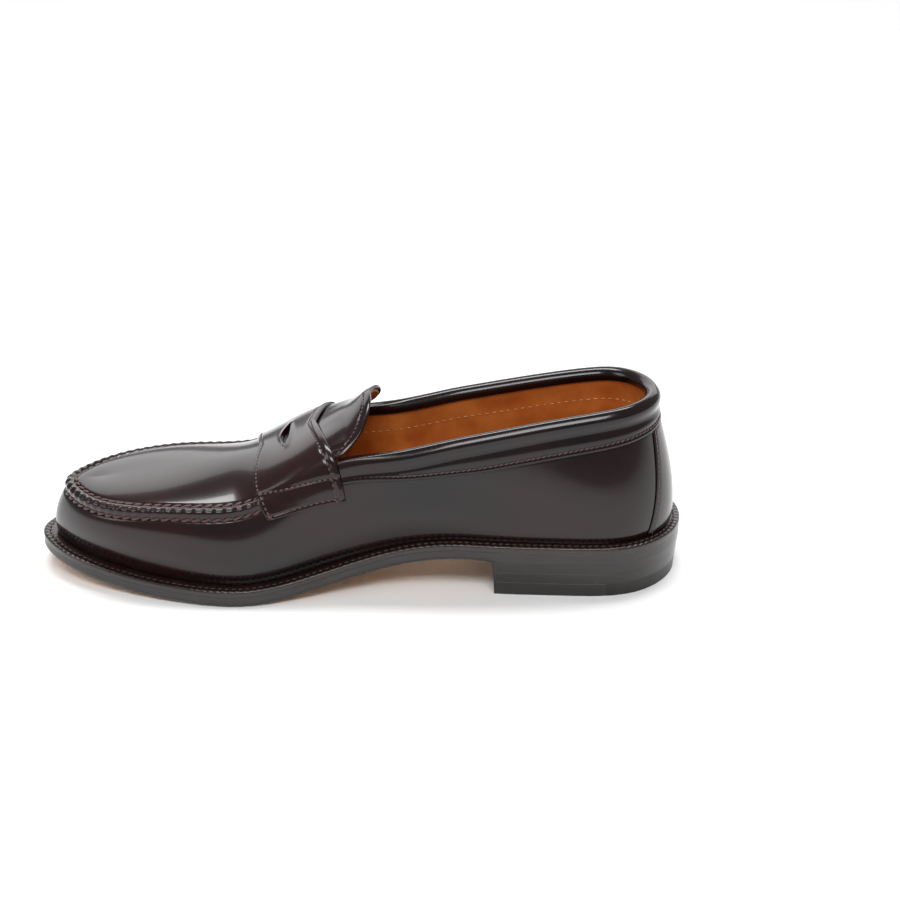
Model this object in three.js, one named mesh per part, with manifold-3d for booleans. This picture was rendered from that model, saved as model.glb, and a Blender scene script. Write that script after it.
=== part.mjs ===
// A left penny loafer, life size, in millimetres, +Z up.
// The origin is the middle of the heel's tread on the floor. +X points to the toe, +Y to the outer side.
// Every piece of the upper is a shell between two depths of one shared surface, S(t, s):
// t runs once round the shoe in control sections, and s climbs from the welt (0) to the edge (1)
// to the ridge (2).

import * as THREE from "three";
import { mergeVertices } from "three/addons/utils/BufferGeometryUtils.js";
import Module from "manifold-3d";

const wasm = await Module();
wasm.setup();

// Driving sizes: overall
const soleLength = 299; // back of the heel welt to the tip of the toe welt
const ballWidth = 103; // across the welt at the ball
const backHeight = 60.8; // topline over the welt at the back of the heel
const seamHeight = 33.5; // apron seam over the welt at the ball
const instepHeight = 60; // ridge of the instep over the welt where the strap ends

// Driving sizes: bottom
const outsoleThickness = 5;
const weltThickness = 2.7;
const insoleThickness = 3;
const sockThickness = 0.8;
const liftThickness = 5;
const topPieceThickness = 6.3;
const heelBreast = 88; // front face of the heel, from the back of the welt
const heelTaper = 0.6; // each heel layer is this much smaller than the one above it
const toeSpring = 9; // rise of the outsole's underside at the toe
const weltAtBall = 6.5; // how far the welt stands out from the upper
const weltAtHeel = 4.5;
const weltTuck = 5.7; // how far the welt reaches in under the upper
const ribWidth = 2;
const shankLength = 110;
const shankWidth = 12;
const shankThickness = 2.1;
const shankBack = 64;

// Driving sizes: upper
const leather = 1.6;
const lining = 1;
const stiffener = 1;
const trim = 1.5; // collar, strap and back panel
const collarAtBack = 13;
const collarAtSide = 15.5;
const collarAtStrap = 9.5;
const panelTop = 25; // width of the back panel under the collar
const panelBottom = 62;
const slotWidth = 26;
const slotHeight = 4.6;
const slotBow = 3;
const tongueLength = 29; // free length behind the strap, along the ridge

// Driving sizes: nails and clearances
const heelNailRadius = 0.9;
const treadNailRadius = 0.7;
const nailInset = 11;
const nailBite = 4; // how deep a heel nail goes into the outsole
const treadNailBite = 2.4;
const clearance = 0.3; // between pieces that touch
const overlayClearance = 0.35; // between the upper and what is sewn over it

// Heights over the outsole's underside
const weltBase = outsoleThickness + clearance;
const weltTop = weltBase + weltThickness;
const upperBase = weltTop + clearance;
const insoleTop = upperBase + insoleThickness;
const sockBase = insoleTop + clearance;
const liftPitch = liftThickness + clearance;
const lowerLiftBase = topPieceThickness + clearance;
const upperLiftBase = lowerLiftBase + liftPitch;
const heelHeight = upperLiftBase + liftPitch;

// Depths below the shared surface, which is the outer face of the upper
const stiffenerDepth = leather + clearance;
const liningDepth = leather + clearance;
const liftedDepth = stiffenerDepth + stiffener + clearance;
const insoleInset = liftedDepth + lining + 0.9;

// Control sections: 0 at the back of the heel, 13 at the toe, outer side first.
// Lengths are for a 299 mm sole and widths for a 103 mm ball, and both scale.
const sectionCount = 26;
const toeSection = sectionCount / 2;
const lengthScale = soleLength / 299;
const widthScale = ballWidth / 103;
const splineGain = 1.0467; // a cubic B-spline runs this much inside the points of a 30 degree arc
const heelAngles = [150, 120, 95];

const outerSole = [
  [62, 38.6], [92, 37.2], [128, 31.6], [165, 39.5], [200, 51], [233, 44.8], [261, 36], [283, 25],
  [296, 12],
];
const innerSole = [
  [62, 38.2], [94, 34.8], [130, 28.6], [168, 38.5], [204, 52.5], [234, 56], [261, 45], [283, 29],
  [296, 14],
];
const outerEdge = [
  [64, 28.3], [94, 31.5], [130, 31.5], [162, 30.5], [195, 38.5], [228, 37.5], [255, 32.5], [273, 21.5],
  [283, 8.5],
];
const innerEdge = [
  [64, 27], [95, 25.5], [132, 26.5], [164, 29.5], [199, 35], [231, 35.5], [257, 32.5], [274, 23],
  [283.5, 9],
];
const heelSole = { centre: 39, length: 39, outer: 38.6, inner: 38.2 };
const heelEdge = { centre: 40.9, length: 25.5, outer: 24.5, inner: 26.5 };
const toeSole = [301, 1];
const toeEdge = [286.5, 0];

// Share of backHeight along the topline, then of seamHeight along the apron seam
const toplineShare = [1, 1, 0.99, 0.97, 0.917, 0.836, 0.715, 0.865];
const seamShare = [1.03, 1.05, 0.92, 0.82, 0.79, 0.79];
const ridgeX = [107, 138, 169, 200, 228, 248, 261, 267, 270];
const ridgeShare = [1.2, 1.135, 0.955, 0.77, 0.685, 0.61, 0.555, 0.525, 0.51];
const firstRidgeSection = 5;
const bulgeLow = [1.5, 1.5, 2, 3, 3.5, 4, 4.2, 3.5, 3.5, 3.5, 3, 2, 1.5, 1.5];
const bulgeHigh = [5.2, 5.2, 5, 4.5, 4, 4.5, 5, 5.5, 7, 8, 8, 7, 6, 6];

const up = new THREE.Vector3(0, 0, 1);

function smooth(low, high, value) {
  return THREE.MathUtils.smoothstep(value, low, high);
}

// Underside of the outsole at x: level over the heel, down to the ball, up to the toe.
function treadZ(x) {
  const reach = x / lengthScale;
  const fall = smooth(100, 205, reach);
  const spring = Math.max(0, (reach - 204) / 96);
  return heelHeight * (1 - fall) + toeSpring * spring ** 2;
}

function heelArc(arc, width) {
  return heelAngles.map((angle) => {
    const turn = THREE.MathUtils.degToRad(angle);
    const x = arc.centre + arc.length * splineGain * Math.cos(turn);
    return [x, width * splineGain * Math.sin(turn)];
  });
}

// Joins the back, the outer side, the toe and the inner side into one closed control polygon.
function closedPolygon(arc, outer, toe, inner) {
  const back = [[arc.centre - arc.length * splineGain, 0]];
  const outerSide = [...heelArc(arc, arc.outer), ...outer];
  const innerSide = [...heelArc(arc, arc.inner), ...inner].map(([x, y]) => [x, -y]);
  return [...back, ...outerSide, toe, ...innerSide.reverse()]
    .map(([x, y]) => new THREE.Vector3(x * lengthScale, y * widthScale, 0));
}

// The same list for both sides: section k on the outer side and section 26 - k on the inner one.
function mirrored(values) {
  return [...values, ...values.slice(1, -1).reverse()];
}

const edgeShare = [
  ...toplineShare.map((share) => share * backHeight),
  ...seamShare.map((share) => share * seamHeight),
];
const solePolygon = closedPolygon(heelSole, outerSole, toeSole, innerSole);
const edgePolygon = closedPolygon(heelEdge, outerEdge, toeEdge, innerEdge)
  .map((point, k) => point.setZ(mirrored(edgeShare)[k]));
const ridgePolygon = mirrored(edgeShare.map((_, section) => {
  const k = Math.max(section - firstRidgeSection, 0);
  return new THREE.Vector3(ridgeX[k] * lengthScale, 0, ridgeShare[k] * instepHeight);
}));
const bulgePolygon = mirrored(bulgeLow.map((low, k) => new THREE.Vector3(low, bulgeHigh[k], 0)));

// Closed uniform cubic B-spline
function spline(points, t) {
  const first = Math.floor(t);
  const f = t - first;
  const weights = [(1 - f) ** 3, 3 * f ** 3 - 6 * f ** 2 + 4, -3 * f ** 3 + 3 * f ** 2 + 3 * f + 1, f ** 3];
  const sum = new THREE.Vector3();
  weights.forEach((weight, k) => {
    const index = (first - 1 + k + 2 * points.length) % points.length;
    sum.addScaledVector(points[index], weight / 6);
  });
  return sum;
}

function outward(t) {
  const step = 0.02;
  const along = spline(solePolygon, t + step).sub(spline(solePolygon, t - step)).normalize();
  return new THREE.Vector3(-along.y, along.x, 0);
}

function soleEdge(t, inset) {
  return spline(solePolygon, t).addScaledVector(outward(t), -inset);
}

function extension(t) {
  const x = spline(solePolygon, t).x / lengthScale;
  return THREE.MathUtils.lerp(weltAtHeel, weltAtBall, smooth(110, 170, x));
}

// A point of the bottom, inset from the line where the upper meets the welt
function featherPoint(t, inset, height) {
  const point = soleEdge(t, extension(t) + inset);
  return point.setZ(treadZ(point.x) + height);
}

function onSeat(points, t) {
  const point = spline(points, t);
  point.z += treadZ(point.x) + weltTop;
  return point;
}

function edgePoint(t) {
  return onSeat(edgePolygon, t);
}

function ridgePoint(t) {
  return onSeat(ridgePolygon, t);
}

function bezier(a, b, c, d, f) {
  const g = 1 - f;
  return new THREE.Vector3()
    .addScaledVector(a, g ** 3)
    .addScaledVector(b, 3 * g ** 2 * f)
    .addScaledVector(c, 3 * g * f ** 2)
    .addScaledVector(d, f ** 3);
}

function wallPoint(t, s) {
  const foot = featherPoint(t, 0, upperBase);
  const edge = edgePoint(t);
  const out = outward(t);
  const bulge = spline(bulgePolygon, t);
  const rise = (edge.z - foot.z) * 0.35;
  const low = foot.clone().addScaledVector(out, bulge.x).addScaledVector(up, rise);
  const high = edge.clone().addScaledVector(out, bulge.y).addScaledVector(up, -rise);
  return bezier(foot, low, high, edge, s);
}

function ridgeSlope(t) {
  const step = 0.15;
  const side = t > toeSection ? sectionCount - t : t;
  const ahead = ridgePoint(Math.min(side + step, toeSection));
  const behind = ridgePoint(side - step);
  return (ahead.z - behind.z) / (ahead.x - behind.x);
}

function roofPoint(t, s) {
  const edge = edgePoint(t);
  const ridge = ridgePoint(t);
  const inward = ridge.clone().sub(edge).setZ(0);
  const span = inward.length();
  inward.normalize();
  const side = Math.min(t, sectionCount - t);
  const apron = smooth(7.2, 8.3, side);
  const lean = THREE.MathUtils.lerp(0.25, 0.82, apron);
  const climb = THREE.MathUtils.lerp(0.95, 0.48, apron);
  const reach = span * 0.28;
  const low = edge.clone().addScaledVector(inward, lean * reach).addScaledVector(up, climb * reach);
  const high = ridge.clone().addScaledVector(inward, -0.4 * span);
  high.z += ridgeSlope(t) * (high.x - ridge.x);
  return bezier(edge, low, high, ridge, s - 1);
}

function surfacePoint(t, s) {
  return s <= 1 ? wallPoint(t, s) : roofPoint(t, s);
}

// Outward direction that every layer of the upper shares
function surfaceNormal(t, s) {
  if (s > 1.999) {
    return new THREE.Vector3(-ridgeSlope(t), 0, 1).normalize();
  }
  const side = Math.min(t, sectionCount - t);
  const top = s <= 1 && side < 7.2 ? 1 : 2;
  const above = surfacePoint(t, Math.min(s + 0.06, top));
  const below = surfacePoint(t, Math.max(s - 0.06, 0));
  const ahead = surfacePoint(t + 0.05, s);
  const behind = surfacePoint(t - 0.05, s);
  return above.sub(below).cross(ahead.sub(behind)).normalize();
}

function node(t, s) {
  const wrapped = (t + sectionCount) % sectionCount;
  return { point: surfacePoint(wrapped, s), normal: surfaceNormal(wrapped, s), t: wrapped, s };
}

// A closed solid from vertices and triangles, its doubles merged and its faces turned outwards
function closedGeometry(positions, index) {
  const loose = new THREE.BufferGeometry();
  loose.setAttribute("position", new THREE.Float32BufferAttribute(positions, 3));
  loose.setIndex(index);
  const merged = mergeVertices(loose, 1e-3);
  const corners = merged.getIndex().array;
  const at = (k) => new THREE.Vector3().fromBufferAttribute(merged.attributes.position, k);
  const kept = [];
  let volume = 0;
  for (let k = 0; k < corners.length; k += 3) {
    const [a, b, c] = corners.slice(k, k + 3);
    if (a !== b && b !== c && a !== c) {
      kept.push([a, b, c]);
      volume += at(a).dot(at(b).cross(at(c)));
    }
  }
  const turned = volume < 0 ? kept.map(([a, b, c]) => [a, c, b]) : kept;
  merged.setIndex(turned.flat());
  return merged;
}

// A shell between two offsets of a grid of surface nodes. A zipped last row meets itself at the toe.
function shell(grid, low, high, zipped = false) {
  const rows = grid.length;
  const columns = grid[0].length;
  const positions = [];
  for (const offset of [high, low]) {
    for (const { point, normal, t, s } of grid.flat()) {
      const distance = typeof offset === "function" ? offset(t, s) : offset;
      positions.push(...point.clone().addScaledVector(normal, distance).toArray());
    }
  }
  const at = (side, i, j) => (side * rows + i) * columns + j;
  const index = [];
  const quad = (a, b, c, d) => index.push(a, b, c, a, c, d);
  for (let i = 0; i < rows - 1; i += 1) {
    for (let j = 0; j < columns - 1; j += 1) {
      quad(at(0, i, j), at(0, i, j + 1), at(0, i + 1, j + 1), at(0, i + 1, j));
      quad(at(1, i, j), at(1, i + 1, j), at(1, i + 1, j + 1), at(1, i, j + 1));
    }
    quad(at(0, i, 0), at(0, i + 1, 0), at(1, i + 1, 0), at(1, i, 0));
    quad(at(0, i + 1, columns - 1), at(0, i, columns - 1), at(1, i, columns - 1), at(1, i + 1, columns - 1));
  }
  for (let j = 0; j < columns - 1; j += 1) {
    quad(at(0, 0, j + 1), at(0, 0, j), at(1, 0, j), at(1, 0, j + 1));
    if (!zipped) {
      quad(at(0, rows - 1, j), at(0, rows - 1, j + 1), at(1, rows - 1, j + 1), at(1, rows - 1, j));
    }
  }
  return closedGeometry(positions, index);
}

// A solid swept through closed sections, either back round to the first one or capped at both ends
function loft(sections, round) {
  const count = sections[0].length;
  const positions = sections.flat().flatMap((point) => point.toArray());
  const index = [];
  const spans = round ? sections.length : sections.length - 1;
  for (let i = 0; i < spans; i += 1) {
    const next = (i + 1) % sections.length;
    for (let j = 0; j < count; j += 1) {
      const k = (j + 1) % count;
      const [a, b] = [i * count + j, i * count + k];
      const [c, d] = [next * count + k, next * count + j];
      index.push(a, b, c, a, c, d);
    }
  }
  return { positions, index, count };
}

// Stations round the shoe: a third of a control section apart, and a sixth where the edge dips at the strap
const fineStep = 1 / 6;

function isStation(k) {
  const t = Math.abs(k * fineStep);
  const side = Math.min(t, sectionCount - t);
  return k % 2 === 0 || (side > 6.4 && side < 8.6);
}

function stations(start, end) {
  const between = [];
  for (let k = Math.ceil(start / fineStep + 0.1); k <= end / fineStep - 0.1; k += 1) {
    if (isStation(k)) {
      between.push(k * fineStep);
    }
  }
  return [start, ...between, end];
}

const ringStations = stations(0, sectionCount).slice(0, -1);

// A level plate of the bottom: outline points, and straight rungs from side to side
function plate(outlinePoint, base, top) {
  const count = ringStations.length;
  const ring = ringStations.map(outlinePoint);
  const positions = [base, top].flatMap((height) => ring.flatMap(({ x, y }) => [x, y, treadZ(x) + height]));
  const index = [];
  for (let k = 0; k < count; k += 1) {
    const next = (k + 1) % count;
    index.push(k, next, count + next, k, count + next, count + k);
  }
  for (let k = 0; k < count / 2; k += 1) {
    const [a, b] = [k, k + 1];
    const [c, d] = [(count - k - 1) % count, (count - k) % count];
    for (const [i, j, l] of [[a, b, c], [a, c, d]]) {
      index.push(l, j, i, count + i, count + j, count + l);
    }
  }
  return closedGeometry(positions, index);
}

// A ring of the bottom between two outlines
function ringOf(outer, inner, base, top) {
  const sections = ringStations.map((t) => [[outer, base], [outer, top], [inner, top], [inner, base]]
    .map(([outline, height]) => {
      const point = outline(t);
      return point.setZ(treadZ(point.x) + height);
    }));
  const { positions, index } = loft(sections, true);
  return closedGeometry(positions, index);
}

// Booleans
function toSolid(geometry) {
  const bare = geometry.clone();
  bare.deleteAttribute("normal");
  bare.deleteAttribute("uv");
  const merged = mergeVertices(bare, 1e-4);
  const vertProperties = new Float32Array(merged.attributes.position.array);
  const triVerts = new Uint32Array(merged.getIndex().array);
  return new wasm.Manifold(new wasm.Mesh({ numProp: 3, vertProperties, triVerts }));
}

function fromSolid(solid) {
  const mesh = solid.getMesh();
  const geometry = new THREE.BufferGeometry();
  geometry.setAttribute("position", new THREE.Float32BufferAttribute(mesh.vertProperties, 3));
  geometry.setIndex([...mesh.triVerts]);
  return geometry;
}

function cut(geometry, tools) {
  return fromSolid(tools.reduce((solid, tool) => solid.subtract(toSolid(tool)), toSolid(geometry)));
}

// Where along the shoe the strap lies: its rear edge climbs forward to the ridge.
const strapFront = 7.79;
const strapFrontBow = 0.16; // how far the front edge bows forward between its corner and the ridge
const strapRear = 6.76;
const strapRearAtRidge = 7;
const strapLowRear = 0.65;
const strapLowFront = 0.79;
const endClearance = 0.4;

function sectionsPerMm(t, s) {
  const step = 0.1;
  return (2 * step) / surfacePoint(t + step, s).distanceTo(surfacePoint(t - step, s));
}

function strapRearAt(s) {
  const climb = THREE.MathUtils.clamp((s - strapLowRear) / (2 - strapLowRear), 0, 1);
  return THREE.MathUtils.lerp(strapRear, strapRearAtRidge, 1 - (1 - climb) ** 2);
}

function strapFrontAt(s) {
  const climb = THREE.MathUtils.clamp((s - strapLowFront) / (2 - strapLowFront), 0, 1);
  return strapFront + strapFrontBow * Math.sin(Math.PI * climb ** 0.8) ** 0.9 + 0.06 * climb;
}

// The strap's rear edge moved back (-) or forward (+) by a distance
function beyondStrap(s, distance) {
  const t = strapRearAt(s);
  return t + distance * sectionsPerMm(t, s);
}

const wallSteps = [0, 1 / 6, 1 / 3, 1 / 2, 2 / 3, 5 / 6, 1];
const roofSteps = [1.2, 1.4, 1.6, 1.8, 2];

// Goes from the outer side over the ridge to the inner side: [heights up one side] gives signed columns
function overTheTop(steps) {
  const climb = steps.map((s) => ({ s, outer: true }));
  const descent = steps.slice(0, -1).reverse().map((s) => ({ s, outer: false }));
  return [...climb, ...descent];
}

function sided(t, outer) {
  return outer ? t : sectionCount - t;
}

// A patch over the ridge whose first row is startAt(s) and whose last row is the toe
function overGrid(steps, startAt) {
  const columns = overTheTop(steps);
  const last = stations(strapRearAtRidge + 0.05, toeSection).slice(1);
  const rows = [0, 0.5].map((share) => columns.map(({ s, outer }) => {
    const start = startAt(s);
    const t = THREE.MathUtils.lerp(start, last[0], share);
    return node(sided(t, outer), s);
  }));
  return [...rows, ...last.map((t) => columns.map(({ s, outer }) => node(sided(t, outer), s)))];
}

// Upper
const seamShift = 0.2; // half of the gap at the apron seam
const backSeam = 0.02; // in control sections, half of the gap at the back seam

function makeVamp() {
  const steps = [...wallSteps.slice(0, -1), 1 - seamShift / (seamHeight * 1.05)];
  const around = stations(backSeam, sectionCount - backSeam);
  return shell(around.map((t) => steps.map((s) => node(t, s))), -leather, 0);
}

function makeApron() {
  const steps = [1 + seamShift / (ballWidth * 0.35), ...roofSteps];
  return shell(overGrid(steps, (s) => beyondStrap(s, 0)), -leather, 0, true);
}

const puffReach = 7 / 3; // how far the toe puff goes to each side of the toe, in control sections

// How far the lining is pushed in where a stiffener lies behind the leather
function packed(t, s) {
  const side = Math.min(t, sectionCount - t);
  const counter = (1 - smooth(4.35, 5.3, side)) * (1 - smooth(0.66, 0.86, s));
  const puff = smooth(9.9, toeSection - puffReach - 0.1, side) * (1 - smooth(1.45, 1.75, s));
  return (liftedDepth - liningDepth) * Math.max(counter, puff);
}

const liningTop = (t, s) => -liningDepth - packed(t, s);
const liningBottom = (t, s) => liningTop(t, s) - lining;

function makeVampLining() {
  const steps = [...wallSteps, ...roofSteps];
  return shell(overGrid(steps, (s) => beyondStrap(s, 0)), liningBottom, liningTop, true);
}

function makeQuarterLining(outer) {
  const grid = wallSteps.map((s) => {
    const end = beyondStrap(s, -endClearance);
    return [...stations(backSeam, 6.4), end].map((t) => node(sided(t, outer), s));
  });
  return shell(grid, liningBottom, liningTop);
}

function makeHeelCounter() {
  const grid = [0.02, 1 / 6, 1 / 3, 1 / 2, 0.62].map((s) => stations(-4.2, 4.2).map((t) => node(t, s)));
  return shell(grid, -stiffenerDepth - stiffener, -stiffenerDepth);
}

function makeToePuff() {
  const steps = [0.02, ...wallSteps.slice(1), 1.2, 1.4];
  const around = stations(toeSection - puffReach, toeSection + puffReach);
  return shell(steps.map((s) => around.map((t) => node(t, s))), -stiffenerDepth - stiffener, -stiffenerDepth);
}

function wallHeightStep(t, distance) {
  const rise = edgePoint(t).z - featherPoint(t, 0, upperBase).z;
  return distance / (rise * 1.05);
}

// Height of the collar's lower edge, as s, at a station behind the strap
function collarSeam(t) {
  const side = Math.min(Math.abs(t), sectionCount - Math.abs(t));
  const toSide = THREE.MathUtils.lerp(collarAtBack, collarAtSide, smooth(0, 4.5, side));
  const height = THREE.MathUtils.lerp(toSide, collarAtStrap, smooth(4.8, strapRear, side));
  return 1 - wallHeightStep((t + sectionCount) % sectionCount, height);
}

// Section of the collar: down the outside of the wall, and rolled over its top edge
function collarSection(t, endShift) {
  const seam = collarSeam(t);
  const outerFace = overlayClearance + trim;
  const innerFace = -liningDepth - lining;
  const roll = [
    [outerFace, 0.2], [outerFace - 0.5, 1.2], [0.2, 1.9], [-1.4, 1.9], [innerFace + 0.3, 1.2],
    [innerFace, clearance], [overlayClearance, clearance],
  ];
  const heights = [seam, (seam + 1) / 2, 1];
  const place = (s, offset, raise) => {
    const shifted = endShift ? endShift(s) : t;
    const { point, normal } = node(shifted, s);
    const rising = surfacePoint(shifted, s).sub(surfacePoint(shifted, s - 0.05)).normalize();
    return point.addScaledVector(normal, offset).addScaledVector(rising, raise);
  };
  return [
    ...heights.slice(0, 2).map((s) => place(s, outerFace, 0)),
    ...roll.map(([offset, raise]) => place(1, offset, raise)),
    ...heights.slice(0, 2).reverse().map((s) => place(s, overlayClearance, 0)),
  ];
}

// Fills a capped loft's ends: the section is a bent strip, so opposite points are joined in turn
function capped({ positions, index, count }) {
  const last = positions.length / 3 - count;
  for (let k = 0; k < count / 2 - 1; k += 1) {
    const [a, b, c, d] = [k, k + 1, count - 2 - k, count - 1 - k];
    const cap = b === c ? [[a, b, d]] : [[a, b, c], [a, c, d]];
    for (const [i, j, l] of cap) {
      index.push(i, l, j, last + i, last + j, last + l);
    }
  }
  return closedGeometry(positions, index);
}

function makeCollar() {
  const end = strapRear - 0.1;
  const outerEnd = (s) => beyondStrap(s, -endClearance);
  const innerEnd = (s) => sectionCount - beyondStrap(s, -endClearance);
  const middle = stations(-end + 0.25, end - 0.25).map((t) => collarSection(t));
  const sections = [collarSection(-end, innerEnd), ...middle, collarSection(end, outerEnd)];
  return capped(loft(sections, false));
}

function makeBackPanel() {
  const halfAt = (s) => THREE.MathUtils.lerp(panelBottom, panelTop, s) / 2;
  const low = 0.03;
  const shares = [0, 1 / 5, 2 / 5, 3 / 5, 4 / 5, 1];
  const across = Array.from({ length: 17 }, (_, k) => (k - 8) / 8);
  const grid = across.map((side) => shares.map((share) => {
    const near = THREE.MathUtils.lerp(low, collarSeam(0), share);
    const t = side * halfAt(share) * sectionsPerMm(0, near);
    const top = collarSeam(t) - wallHeightStep((t + sectionCount) % sectionCount, endClearance);
    return node(t, THREE.MathUtils.lerp(low, top, share));
  }));
  return shell(grid, overlayClearance, overlayClearance + trim);
}

// The strap's grid: rows from its rear edge to its front edge, columns over the ridge
function makeStrapBlank() {
  const shares = [0, 1 / 6, 1 / 3, 1 / 2, 2 / 3, 5 / 6, 1];
  const heights = [0, 1 / 3, 2 / 3, 1];
  const columns = overTheTop([...heights, ...roofSteps]);
  const grid = shares.map((share) => columns.map(({ s, outer }) => {
    const low = THREE.MathUtils.lerp(strapLowRear, strapLowFront, share);
    const height = s <= 1 ? THREE.MathUtils.lerp(low, 1, s) : s;
    const t = THREE.MathUtils.lerp(strapRearAt(height), strapFrontAt(height), share);
    return node(sided(t, outer), height);
  }));
  return shell(grid, overlayClearance, overlayClearance + trim);
}

// Crescent slot across the ridge, a prism square to the strap
function makeSlotTool() {
  const t = (strapRearAtRidge + strapFront) / 2;
  const { point, normal } = node(t, 2);
  const shape = new THREE.Shape();
  shape.moveTo(-slotWidth / 2, 0);
  shape.quadraticCurveTo(0, slotBow + slotHeight, slotWidth / 2, 0);
  shape.quadraticCurveTo(0, -slotHeight + slotBow, -slotWidth / 2, 0);
  const reach = 5 * trim;
  const tool = new THREE.ExtrudeGeometry(shape, { depth: 2 * reach, bevelEnabled: false, curveSegments: 8 });
  tool.translate(0, 0, -reach + overlayClearance + trim / 2);
  const across = new THREE.Vector3(0, -1, 0);
  const along = normal.clone().cross(across);
  tool.applyMatrix4(new THREE.Matrix4().makeBasis(across, along, normal).setPosition(point));
  return tool;
}

// The tongue: from the strap's rear edge back to a rounded free edge
const tongueSide = 1.13; // s of the side corners, over the collar
const tongueCorner = 3; // free length at the side corners
const tongueBluntness = { outer: 1.7, inner: 4 }; // 1 is a point, and more is a broader free edge

function tongueGrid(sideMargin, endMargin) {
  const low = tongueSide + sideMargin;
  const steps = [0, 0.12, 0.27, 0.45, 0.63, 0.82, 1].map((share) => THREE.MathUtils.lerp(low, 2, share));
  const shares = [0, 0.2, 0.4, 0.6, 0.8, 1];
  return shares.map((share) => overTheTop(steps).map(({ s, outer }) => {
    const start = beyondStrap(s, -endClearance);
    const power = outer ? tongueBluntness.outer : tongueBluntness.inner;
    const rounding = 1 - (1 - (s - low) / (2 - low)) ** power;
    const length = THREE.MathUtils.lerp(tongueCorner, tongueLength - endMargin, rounding);
    const end = start - length * sectionsPerMm(strapRearAt(s) - 0.3, s);
    return node(sided(THREE.MathUtils.lerp(start, end, share), outer), s);
  }));
}

// Heel
function soleRim(inset) {
  return (t) => soleEdge(t, inset);
}

// Section where the outline, inset, crosses the heel breast on one side
function breastSection(inset, outer) {
  let [low, high] = [2, 7];
  for (let k = 0; k < 30; k += 1) {
    const middle = (low + high) / 2;
    const x = soleEdge(sided(middle, outer), inset).x;
    [low, high] = x < heelBreast ? [middle, high] : [low, middle];
  }
  return low;
}

function heelShape(inset) {
  const start = breastSection(inset, false);
  const end = breastSection(inset, true);
  const points = stations(-start, end).map((t) => soleEdge((t + sectionCount) % sectionCount, inset));
  return new THREE.Shape(points.map(({ x, y }) => new THREE.Vector2(x, y)));
}

function heelLayer(inset, base, thickness) {
  const geometry = new THREE.ExtrudeGeometry(heelShape(inset), { depth: thickness, bevelEnabled: false });
  return geometry.translate(0, 0, base);
}

const treadInset = 3 * heelTaper;
const nailSides = 8;

function pin(radius, x, y, base, top) {
  const geometry = new THREE.CylinderGeometry(radius, radius, top - base, nailSides);
  return geometry.rotateX(Math.PI / 2).translate(x, y, (base + top) / 2);
}

const heelNailPlaces = [-3.1, -1.6, 0, 1.6, 3.1]
  .map((t) => soleEdge((t + sectionCount) % sectionCount, nailInset));
const treadNailPlaces = [
  ...[-26, -9, 9, 26].map((y) => ({ x: heelBreast - 7, y: y * widthScale })),
  ...[-1, 1].map((side) => ({ x: heelBreast - 26, y: side * 27 * widthScale })),
];

function heelNail({ x, y }, slack) {
  const base = lowerLiftBase + clearance - slack;
  return pin(heelNailRadius + slack, x, y, base, heelHeight + nailBite + slack);
}

function treadNail({ x, y }, slack) {
  return pin(treadNailRadius + slack, x, y, clearance - 2 * slack, lowerLiftBase + treadNailBite + slack);
}

const heelNailHoles = heelNailPlaces.map((place) => heelNail(place, clearance));
const treadNailHoles = treadNailPlaces.map((place) => treadNail(place, clearance));
const throughHoles = heelNailPlaces.map(({ x, y }) => (
  pin(heelNailRadius + clearance, x, y, -1, heelHeight + nailBite + clearance)
));

// The rubber rear of the top piece keys into the leather front with a dovetail.
const dovetail = { line: 36, reach: 20, neck: 12, head: 18 };

function dovetailTool(grow) {
  const { line, reach, neck, head } = dovetail;
  const far = ballWidth;
  const shape = new THREE.Shape();
  shape.moveTo(-far, -far);
  shape.lineTo(line + grow, -far);
  shape.lineTo(line + grow, -neck - grow);
  shape.lineTo(line + reach + grow, -head - grow);
  shape.lineTo(line + reach + grow, head + grow);
  shape.lineTo(line + grow, neck + grow);
  shape.lineTo(line + grow, far);
  shape.lineTo(-far, far);
  const depth = topPieceThickness + 4;
  return new THREE.ExtrudeGeometry(shape, { depth, bevelEnabled: false }).translate(0, 0, -2);
}

function makeTopPieceParts() {
  const blank = toSolid(heelLayer(treadInset, 0, topPieceThickness));
  const insert = blank.intersect(toSolid(dovetailTool(0)));
  const front = blank.subtract(toSolid(dovetailTool(clearance)));
  return { insert: fromSolid(insert), front: cut(fromSolid(front), treadNailHoles) };
}

function makeShank(grow) {
  const steps = 12;
  const half = shankWidth / 2 + grow;
  const back = shankBack - grow;
  const length = shankLength + 2 * grow;
  const base = weltBase + clearance - grow * 10;
  const top = weltBase + clearance + shankThickness + grow * 10;
  const sections = Array.from({ length: steps + 1 }, (_, k) => {
    const x = (back + (length * k) / steps) * lengthScale;
    return [[-half, base], [half, base], [half, top], [-half, top]]
      .map(([y, height]) => new THREE.Vector3(x, y, treadZ(x) + height));
  });
  return capped(loft(sections, false));
}

// Bottom outlines, inset from the line where the upper meets the welt
const featherRim = (inset) => (t) => featherPoint(t, inset, 0);
const ribOuter = weltTuck + clearance;
const ribInner = ribOuter + ribWidth;

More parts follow.
